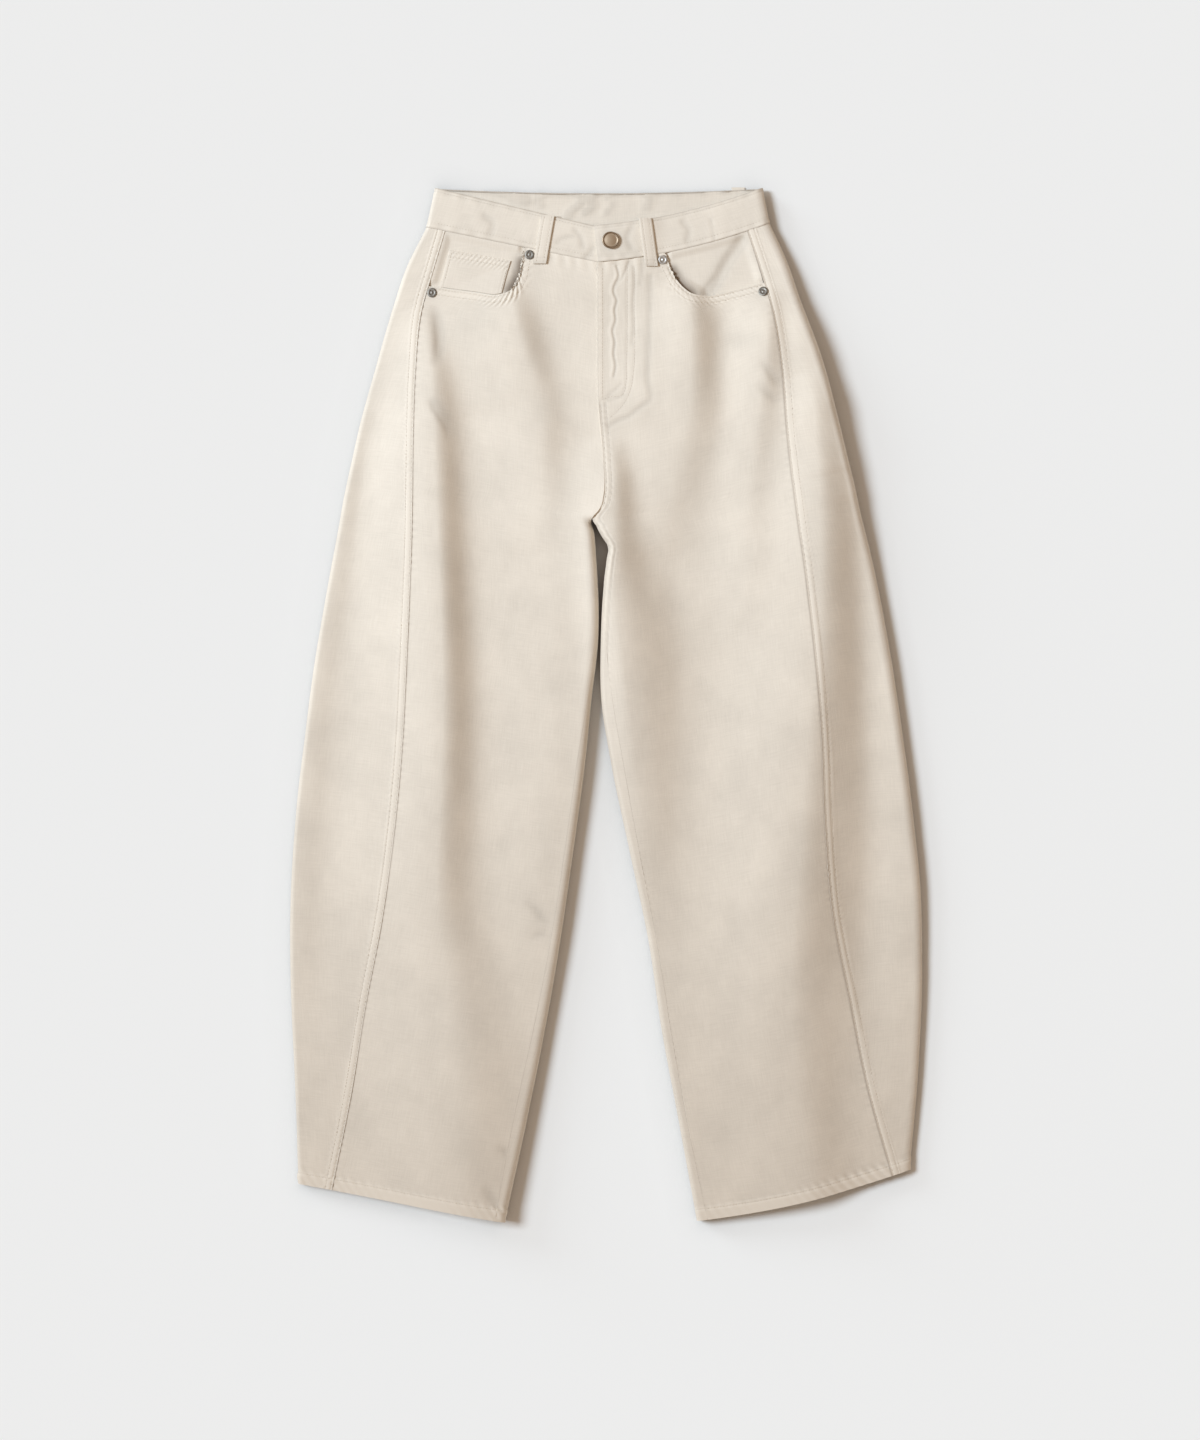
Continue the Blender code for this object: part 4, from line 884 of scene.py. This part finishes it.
def waistband(name, material):
    stretches = (76, 14, 60, 14, 76)
    columns = [number + np.linspace(0, 1, count + 1)[:-1] for number, count in enumerate(stretches)]
    columns = np.append(np.concatenate(columns), 5.0)
    edge = np.array([0, 0.02, 0.045, 0.08, 0.12])
    heights = np.concatenate([edge, np.linspace(0.17, 0.83, 12), 1 - edge[::-1]])
    height, column = np.meshgrid(heights, columns, indexing="ij")
    points = band_point(height, column)
    x = points[..., 0]
    deep = 38.0
    from_edge = np.minimum(height, 1 - height) * deep
    y = points[..., 1]
    detail = 0.8 * rough_cloth(x, y, 31.0) + 0.5 * rough_cloth(2.2 * x, 1.6 * y, 37.0)
    detail -= 0.50 * (bump(3.2, 0.9, (1 - height) * deep) + bump(5.5, 0.9, height * deep))
    detail += 0.38 * ripple(column * 74, 6.0, 5.0) * smooth(9, 2, from_edge)
    detail -= 0.6 * smooth(1.4, 0, (1 - height) * deep)
    on_back = (column >= 2) & (column < 3)
    for width, depth, path in BACK_BAND_LINES:
        detail -= np.where(on_back, 1.7 * depth * near_line(path, x, y, width), 0)
    for width, depth, path in FRONT_BAND_LINES:
        detail -= np.where(on_back, 0, 1.5 * depth * near_line(path, x, y, width))
    past_end = np.where(column >= 4, (5 - column) * 169, 99.0)
    detail -= 0.3 * bump(3.4, 0.9, past_end) + 0.6 * smooth(1.3, 0, past_end)
    # Painted shade: the band darkens toward brown along its top and bottom edges, where shade falls at its
    # seam and over the back band
    shade = 0.26 * smooth(1.6, 0.2, from_edge)
    piece, area = cloth_piece(name, points, detail, -1, BAND_WALL, material, shade)
    finish_piece(piece, "ecru_twill", name)


def front_loop(name, half, ends, material):
    (top_x, top_y), (foot_x, foot_y) = ends
    height, share = np.meshgrid(np.linspace(0, 1, 34), np.linspace(0, 1, 15), indexing="ij")
    x = foot_x + (top_x - foot_x) * height + LOOP_WIDTH * (share - 0.5)
    y = foot_y + (top_y - foot_y) * height
    lift = band_lift(x) if half is LEFT else 0.0
    points = np.stack([x, y, band_top(half, x) + lift + LAYER_GAP + LOOP_WALL], -1)
    from_side = np.minimum(share, 1 - share) * LOOP_WIDTH
    detail = 0.25 * rough_cloth(x, y, 41.0) - 0.3 * bump(3.0, 0.8, from_side)
    detail -= 0.6 * smooth(1.4, 0, from_side)
    detail += 0.35 * smooth(0, 0.18, height) * smooth(1, 0.82, height) - 0.5 * smooth(0.09, 0.02, height)
    detail -= 0.35 * bump(0.12, 0.025, height)
    piece, area = cloth_piece(name, points, detail, 1, LOOP_WALL, material)
    finish_piece(piece, "ecru_twill", name)


def stitch_row(shape, surface, path, pitch=STITCH_PITCH):
    """Add a row of short threads to shape. They lie on surface, below path, and follow its slope."""
    points, normals = SURFACES[surface]
    facing_up = normals[:, 2] > 0.15
    points, normals = points[facing_up], normals[facing_up]
    line = along(path, 0.5)[:, :2]
    reach = np.concatenate([[0], np.cumsum(np.linalg.norm(np.diff(line, axis=0), axis=1))])
    for start in np.arange(0.4, reach[-1] - STITCH_LENGTH, pitch):
        ends = []
        for at in (start, start + STITCH_LENGTH):
            x, y = np.interp(at, reach, line[:, 0]), np.interp(at, reach, line[:, 1])
            squares = (points[:, 0] - x) ** 2 + (points[:, 1] - y) ** 2
            nearest = np.argpartition(squares, 4)[:4]
            weight = 1 / (squares[nearest] + 0.01)
            height = float(np.sum(points[nearest, 2] * weight) / weight.sum())
            ends.append(Vector((float(x), float(y), height)))
        normal = Vector(normals[nearest[0]])
        turn = (ends[1] - ends[0]).to_track_quat("X", "Z")
        size = Matrix.Diagonal((STITCH_LENGTH / 2, THREAD / 2, THREAD / 2, 1))
        middle = (ends[0] + ends[1]) / 2 + normal * (THREAD * 0.2)
        place = Matrix.Scale(MM, 4) @ Matrix.Translation(middle) @ turn.to_matrix().to_4x4() @ size
        bmesh.ops.create_uvsphere(shape, u_segments=6, v_segments=4, radius=1.0, matrix=place)


def stitching(name, material, *rows):
    """One piece with several rows of stitches, each given as a surface's name and a path over it."""
    shape = bmesh.new()
    for surface, path in rows:
        stitch_row(shape, surface, path)
    finish_piece(smooth_piece(name, shape, material), "ecru_twill")


def beside(points, distance):
    """A path moved sideways to its right by distance, as seen when following it."""
    line = along(points, 1.5)[:, :2]
    step = np.gradient(line, axis=0)
    step /= np.linalg.norm(step, axis=1, keepdims=True)
    return line + distance * np.column_stack([step[:, 1], -step[:, 0]])


def sew_half(half, letter, material):
    """The stitching of one half: its pocket mouth, outer seam, hem and waistband."""
    d = half.toward_centre
    front, back = f"front_panel_{letter}", f"back_panel_{letter}"
    below = [beside(half.mouth, d * distance)[2:-2] for distance in ROWS_IN_BAND]
    stitching(f"pocket_stitches_{letter}", material, *[(front, path) for path in below])
    rows = np.linspace(half.hem_y + 1, half.waist_y - 1, 60)
    for number, distance in enumerate(ROWS_IN_BAND):
        x = half.column["seam"](rows) - d * distance
        path = np.column_stack([x, half.front_y(rows, x)])
        stitching(f"seam_stitches_{letter}_{number}", material, (back, path))
    hem_row = half.hem_y + HEM_DEPTH - 1.4
    seam = float(half.column["seam"](hem_row))
    front_x = np.linspace(seam + d * 1.5, float(half.column["inner"](hem_row)) - d * 12, 30)
    back_x = np.linspace(seam - d * 1.5, float(half.column["outer"](hem_row)) + d * 8, 12)
    stitching(f"hem_stitches_{letter}", material,
              (front, np.column_stack([front_x, half.front_y(hem_row, front_x)])),
              (back, np.column_stack([back_x, half.front_y(hem_row, back_x)])))
    centre = BAND_TOP_CENTRE[0] + 5 if half is LEFT else BAND_TOP_CENTRE[0] - 5
    band_rows = []
    for height, end in ((0.915, centre), (0.145, centre + 2)):
        x = np.linspace(band_side_x(half, height) + d * 9, end, 40)
        band_rows.append(("waistband", np.column_stack([x, band_front_y(half, x, height)])))
    stitching(f"waistband_stitches_{letter}", material, *band_rows)


def sew_middle(material):
    """The stitching of the fly, the centre seam below it, the coin pocket and the belt loops."""
    front = "front_panel_l"
    rows = np.linspace(196.0, 300.0, 30)
    centre = LEFT.column["inner"](rows)
    upper = np.linspace(306.0, 438.0, 30)
    stitching("fly_stitches", material, (front, FLY_LINES["inner topstitch"][2]),
              (front, FLY_LINES["outer topstitch"][2]),
              (front, np.column_stack([centre + 1.9, rows])), (front, np.column_stack([centre + 7.3, rows])),
              (front, np.column_stack([np.full(30, FLY_EDGE_X + 4.3), upper])))
    (x_outer, y_outer), (x_inner, y_inner) = COIN_TOP
    top = np.array([(x_outer + 2, y_outer - 0.4), (x_inner - 2, y_inner + 0.4)])
    rows = [("coin_pocket", top - (0, 1.7)), ("coin_pocket", top - (0, 6.3))]
    for x, y in ((x_outer + 2.6, y_outer), (x_inner - 2.6, y_inner)):
        rows.append(("coin_pocket", np.array([(x, y - 2), (x + COIN_LEAN * 0.8, y - 30)])))
    stitching("coin_pocket_stitches", material, *rows)
    for name, (head, foot) in FRONT_LOOPS.items():
        rows = []
        for side in (-3.6, 3.6):
            rows.append((name, np.array([(head[0] + side, head[1] - 1), (foot[0] + side, foot[1] + 1)])))
        stitching(name.replace("belt_loop", "loop_stitches"), material, *rows)


def turned(name, profile, steps, place, normal, slot, material):
    """A round piece: its profile, as radius and height in turn, spun about an axis along normal."""
    shape = bmesh.new()
    verts = [shape.verts.new((radius, 0, height)) for radius, height in profile]
    edges = [shape.edges.new(pair) for pair in zip(verts, verts[1:])]
    bmesh.ops.spin(shape, geom=verts + edges, cent=(0, 0, 0), axis=(0, 0, 1), angle=2 * math.pi, steps=steps,
                   use_merge=True)
    bmesh.ops.remove_doubles(shape, verts=shape.verts, dist=0.01)
    bmesh.ops.recalc_face_normals(shape, faces=shape.faces)
    turn = Vector(normal).to_track_quat("Z", "Y")
    for vert in shape.verts:
        vert.co = (turn @ vert.co + Vector(place)) * MM
    finish_piece(smooth_piece(name, shape, material), slot, name)


def slope_at(height_at, x, y, step=3.0):
    along_x = (height_at(x + step, y) - height_at(x - step, y)) / (2 * step)
    along_y = (height_at(x, y + step) - height_at(x, y - step)) / (2 * step)
    return Vector((-float(along_x), -float(along_y), 1.0)).normalized()


# Half cross-sections from the foot to the middle of the top: share of the radius, and height
RIVET_PROFILE = (
    (0, 0), (0.9, 0), (0.98, 0.15), (1, 0.4), (0.97, 0.65), (0.9, 0.8), (0.75, 0.9), (0.6, 0.88),
    (0.5, 0.7), (0.38, 0.6), (0.28, 0.65), (0.22, 0.85), (0.14, 0.98), (0, 1.0))
BUTTON_PROFILE = (
    (0, 0), (0.42, 0), (0.42, 1.5), (0.9, 1.6), (0.97, 1.9), (1, 2.4), (0.99, 2.9), (0.95, 3.2),
    (0.89, 3.3), (0.84, 3.15), (0.81, 2.8), (0.78, 2.6), (0.7, 2.65), (0.5, 2.9), (0.25, 3.05), (0, 3.1))


def profile_of(radius, points):
    return [(radius * share, height) for share, height in points]


def rivet(name, half, x, y, material):
    """A capped rivet: a flat ring round a dish with a small nub."""
    profile = profile_of(RIVET_WIDTH / 2, RIVET_PROFILE)
    x, y = np.array(x), np.array(y)
    base = half.top(x, y) + (0.9 if name.endswith("outer_l") else 0.5)
    place = (float(x), float(y), float(base))
    turned(name, profile, 40, place, slope_at(half.top, x, y), "gun_metal", material)


def shank_button(material):
    """A round jeans button: a rolled rim round a dished middle with a low dome."""
    profile = profile_of(BUTTON_WIDTH / 2, BUTTON_PROFILE)
    x, y = np.array(BUTTON_AT[0]), np.array(BUTTON_AT[1])

    def height_at(px, py):
        return band_top(LEFT, px) + band_lift(px)

    base = float(height_at(x, y)) + 0.5
    turned("button", profile, 56, (*BUTTON_AT, base), slope_at(height_at, x, y), "antique_brass", material)


def new_material(name):
    material = bpy.data.materials.new(name)
    material.use_nodes = True
    return material, material.node_tree, material.node_tree.nodes["Principled BSDF"]


def add_node(tree, kind, settings=None, **inputs):
    node = tree.nodes.new(kind)
    for key, value in (settings or {}).items():
        setattr(node, key, value)
    for key, value in inputs.items():
        socket = node.inputs[key.replace("_", " ")]
        if isinstance(value, bpy.types.NodeSocket):
            tree.links.new(value, socket)
        else:
            socket.default_value = value
    return node


def math_node(tree, operation, first, second):
    node = tree.nodes.new("ShaderNodeMath")
    node.operation = operation
    for socket, value in zip(node.inputs, (first, second)):
        if isinstance(value, bpy.types.NodeSocket):
            tree.links.new(value, socket)
        else:
            socket.default_value = value
    return node.outputs[0]


def two_tone(tree, factor, stops):
    """A colour that goes between two stops, each a place along factor and a colour."""
    ramp = add_node(tree, "ShaderNodeValToRGB", Fac=factor)
    for element, (position, colour) in zip(ramp.color_ramp.elements, stops):
        element.position = position
        element.color = (*colour, 1)
    return ramp.outputs[0]


def mixed(tree, factor, first, second):
    """The first colour, or the second one where factor is 1."""
    mix = tree.nodes.new("ShaderNodeMix")
    mix.data_type = "RGBA"
    sockets = {socket.identifier: socket for socket in mix.inputs}
    tree.links.new(factor, sockets["Factor_Float"])
    tree.links.new(first, sockets["A_Color"])
    sockets["B_Color"].default_value = (*second, 1)
    return next(out for out in mix.outputs if out.identifier == "Result_Color")


def twill(name, colour):
    """Heavy undyed cotton twill: slanting weave, uneven yarns, soft nap, paler raised edges and darker
    hollows that are partly wear and partly painted highlight and shade, and painted shade in deep gaps.
    """
    material, tree, shader = new_material(name)
    cloth_map = add_node(tree, "ShaderNodeUVMap", {"uv_map": "cloth"})
    in_mm = add_node(tree, "ShaderNodeMapping", Vector=cloth_map.outputs[0], Scale=(1000, 1000, 1000))
    slanted = add_node(tree, "ShaderNodeMapping", Vector=in_mm.outputs[0], Rotation=(0, 0, math.radians(27)))
    rib = add_node(tree, "ShaderNodeTexWave", Vector=slanted.outputs[0], Scale=0.33, Distortion=0.6,
                   Detail=1.0)
    warp_map = add_node(tree, "ShaderNodeMapping", Vector=in_mm.outputs[0], Scale=(0.9, 0.05, 1))
    warp = add_node(tree, "ShaderNodeTexNoise", Vector=warp_map.outputs[0], Scale=1.0, Detail=3.0)
    weft_map = add_node(tree, "ShaderNodeMapping", Vector=in_mm.outputs[0], Scale=(0.05, 0.9, 1))
    weft = add_node(tree, "ShaderNodeTexNoise", Vector=weft_map.outputs[0], Scale=1.0, Detail=3.0)
    cloud = add_node(tree, "ShaderNodeTexNoise", Vector=in_mm.outputs[0], Scale=0.02, Detail=3.0)
    yarns = math_node(tree, "ADD", warp.outputs[0], weft.outputs[0])
    relief = add_node(tree, "ShaderNodeAttribute", {"attribute_name": "relief"})
    # Partly wear and partly painted highlight and shade: the colour is paler where the relief is raised and
    # darker in its grooves and hollows
    wear_and_shade = add_node(tree, "ShaderNodeMapRange", Value=relief.outputs["Fac"], From_Min=-0.65, From_Max=0.8)
    tone = math_node(tree, "MULTIPLY_ADD", yarns, 0.35)
    tree.links.new(math_node(tree, "MULTIPLY", cloud.outputs[0], 0.5), tone.node.inputs[2])
    tone = math_node(tree, "ADD", tone, math_node(tree, "MULTIPLY", wear_and_shade.outputs[0], 0.62))
    darker, paler = [c * 0.82 for c in colour], [min(1, c * 1.07) for c in colour]
    plain = two_tone(tree, math_node(tree, "MULTIPLY", tone, 0.95), ((0.40, darker), (1.0, paler)))
    # Painted shade: the deep attribute turns the colour toward dark brown in gaps, seams, band edges and
    # pocket mouths
    deep = add_node(tree, "ShaderNodeAttribute", {"attribute_name": "deep"})
    tree.links.new(mixed(tree, deep.outputs["Fac"], plain, PAINTED_SHADE_BROWN), shader.inputs["Base Color"])
    height = math_node(tree, "ADD", math_node(tree, "MULTIPLY", rib.outputs[1], 0.5), yarns)
    bumped = add_node(tree, "ShaderNodeBump", Height=height, Strength=0.35, Distance=0.0003)
    tree.links.new(bumped.outputs[0], shader.inputs["Normal"])
    shader.inputs["Roughness"].default_value = 0.94
    shader.inputs["Specular IOR Level"].default_value = 0.2
    shader.inputs["Sheen Weight"].default_value = 0.25
    shader.inputs["Sheen Roughness"].default_value = 0.5
    shader.inputs["Sheen Tint"].default_value = (1.0, 0.96, 0.9, 1)
    return material


def metal(name, colour, roughness, contrast=0.5):
    """Worn metal, mottled by its finish. Its colour and roughness vary together."""
    material, tree, shader = new_material(name)
    place = add_node(tree, "ShaderNodeTexCoord")
    grain = add_node(tree, "ShaderNodeTexNoise", Vector=place.outputs["Object"], Scale=700.0, Detail=5.0)
    mottled = two_tone(tree, grain.outputs[0], ((0.38, [c * contrast for c in colour]), (0.62, colour)))
    tree.links.new(mottled, shader.inputs["Base Color"])
    rough = add_node(tree, "ShaderNodeMapRange", Value=grain.outputs[0], To_Min=roughness * 0.8,
                     To_Max=roughness * 1.3)
    tree.links.new(rough.outputs[0], shader.inputs["Roughness"])
    shader.inputs["Metallic"].default_value = 1.0
    return material


def aged_brass(name):
    """Brown-bronze on the rim, and a paler matt middle."""
    material = metal(name, (0.42, 0.32, 0.23), 0.40, 0.6)
    tree = material.node_tree
    shader = tree.nodes["Principled BSDF"]
    place = add_node(tree, "ShaderNodeTexCoord")
    middle = (BUTTON_AT[0] * MM, BUTTON_AT[1] * MM, 0)
    flat = add_node(tree, "ShaderNodeVectorMath", {"operation": "MULTIPLY"})
    tree.links.new(place.outputs["Object"], flat.inputs[0])
    flat.inputs[1].default_value = (1, 1, 0)
    away = add_node(tree, "ShaderNodeVectorMath", {"operation": "DISTANCE"})
    tree.links.new(flat.outputs[0], away.inputs[0])
    away.inputs[1].default_value = middle
    disc = add_node(tree, "ShaderNodeMapRange", Value=away.outputs["Value"], From_Min=0.0068, From_Max=0.0063)
    mottled = shader.inputs["Base Color"].links[0].from_socket
    tree.links.new(mixed(tree, disc.outputs[0], mottled, (0.60, 0.49, 0.37)), shader.inputs["Base Color"])
    return material


def thread_material(name):
    material, _, shader = new_material(name)
    shader.inputs["Base Color"].default_value = (*[c * 0.97 for c in ECRU], 1)
    shader.inputs["Roughness"].default_value = 0.8
    return material


def aimed_lamp(light, location, target, pieces):
    """A lamp that lights these pieces alone. Its shadows still come from everything."""
    lamp = bpy.data.objects.new(light.name, light)
    lamp.location = location
    lamp.rotation_euler = (Vector(target) - Vector(location)).to_track_quat("-Z", "Y").to_euler()
    bpy.context.scene.collection.objects.link(lamp)
    group = bpy.data.collections.new(f"lit_by_{light.name}")
    for piece in pieces:
        group.objects.link(piece)
    lamp.light_linking.receiver_collection = group


def floor_piece():
    shape = bmesh.new()
    bmesh.ops.create_grid(shape, x_segments=1, y_segments=1, size=STAGE_SIZE_M / 2)
    mesh = bpy.data.meshes.new("floor")
    shape.to_mesh(mesh)
    shape.free()
    material, tree, shader = new_material("floor_paper")
    # Painted shadow: ambient occlusion darkens the floor's colour near the cloth, a painted contact shadow
    beside = add_node(tree, "ShaderNodeAmbientOcclusion", {"samples": 8}, Distance=0.03)
    shade = add_node(tree, "ShaderNodeMapRange", Value=beside.outputs["AO"], To_Min=0.55, To_Max=1.0)
    painted_shadow_grey = math_node(tree, "MULTIPLY", shade.outputs[0], 0.86)
    tree.links.new(painted_shadow_grey, shader.inputs["Base Color"])
    shader.inputs["Roughness"].default_value = 0.95
    shader.inputs["Specular IOR Level"].default_value = 0.0
    floor = placed("floor", mesh, material)
    return floor


def studio_light(floor, pieces):
    """Warm light from all round, a cooler soft key from the left and a little above for the cloth, and two
    suns for the floor: one for the near shadow, and a low one for its long soft end."""
    world = bpy.data.worlds.new("studio")
    bpy.context.scene.world = world
    world.use_nodes = True
    world.node_tree.nodes["Background"].inputs["Color"].default_value = WARM_WORLD
    world.node_tree.nodes["Background"].inputs["Strength"].default_value = WORLD_STRENGTH
    key = bpy.data.lights.new("key", "AREA")
    key.energy = KEY_WATTS
    key.color = KEY_COLOUR
    key.size = 0.9
    key.spread = math.radians(90)
    aimed_lamp(key, KEY_FROM_M, KEY_AT_M, pieces)
    for name, (strength, width, location) in FLOOR_SUNS.items():
        sun = bpy.data.lights.new(name, "SUN")
        sun.energy = strength
        sun.color = SUN_COLOUR
        sun.angle = math.radians(width)
        aimed_lamp(sun, location, (0, 0, 0), [floor])


def look_from_above():
    lens = bpy.data.cameras.new("camera")
    lens.lens = 100
    lens.sensor_width = 36
    lens.clip_end = 20
    camera = bpy.data.objects.new("camera", lens)
    camera.location = CAMERA_AT_M
    bpy.context.scene.collection.objects.link(camera)
    bpy.context.scene.camera = camera


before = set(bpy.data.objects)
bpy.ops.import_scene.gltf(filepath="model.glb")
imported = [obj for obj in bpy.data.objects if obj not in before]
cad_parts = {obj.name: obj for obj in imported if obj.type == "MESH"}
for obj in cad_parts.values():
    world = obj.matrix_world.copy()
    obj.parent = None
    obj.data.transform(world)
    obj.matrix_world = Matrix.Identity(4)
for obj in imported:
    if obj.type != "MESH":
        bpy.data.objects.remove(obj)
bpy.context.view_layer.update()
bpy.context.scene.view_settings.view_transform = "Standard"
look_from_above()
ecru = twill("ecru_twill_cloth", ECRU)
thread = thread_material("thread")
dark_nickel = metal("dark_nickel", (0.36, 0.335, 0.30), 0.5)
bright_nickel = metal("bright_nickel", (0.72, 0.71, 0.69), 0.42, 0.7)
brass = aged_brass("aged_brass")
for letter, side in (("r", RIGHT), ("l", LEFT)):
    front_panel(side, f"front_panel_{letter}", ecru)
    back_panel(side, f"back_panel_{letter}", ecru)
    pocket_facing(side, f"pocket_facing_{letter}", ecru)
coin_pocket("coin_pocket", ecru)
waistband("waistband", ecru)
for loop_name, loop_ends in FRONT_LOOPS.items():
    front_loop(loop_name, RIGHT if loop_name.endswith("_r") else LEFT, loop_ends, ecru)
for letter, side in (("r", RIGHT), ("l", LEFT)):
    sew_half(side, letter, thread)
sew_middle(thread)
for rivet_name, (rivet_x, rivet_y) in RIVETS.items():
    finish = bright_nickel if rivet_name == "rivet_inner_l" else dark_nickel
    rivet(rivet_name, RIGHT if rivet_name.endswith("_r") else LEFT, rivet_x, rivet_y, finish)
shank_button(brass)
for node_name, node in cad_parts.items():
    if node_name.startswith("belt_loop_back") or node_name == "fly_zip":
        node.data.materials.clear()
        node.data.materials.append(ecru)
cloth_and_trim = [thing for thing in bpy.data.objects if thing.type == "MESH"]
studio_light(floor_piece(), cloth_and_trim)
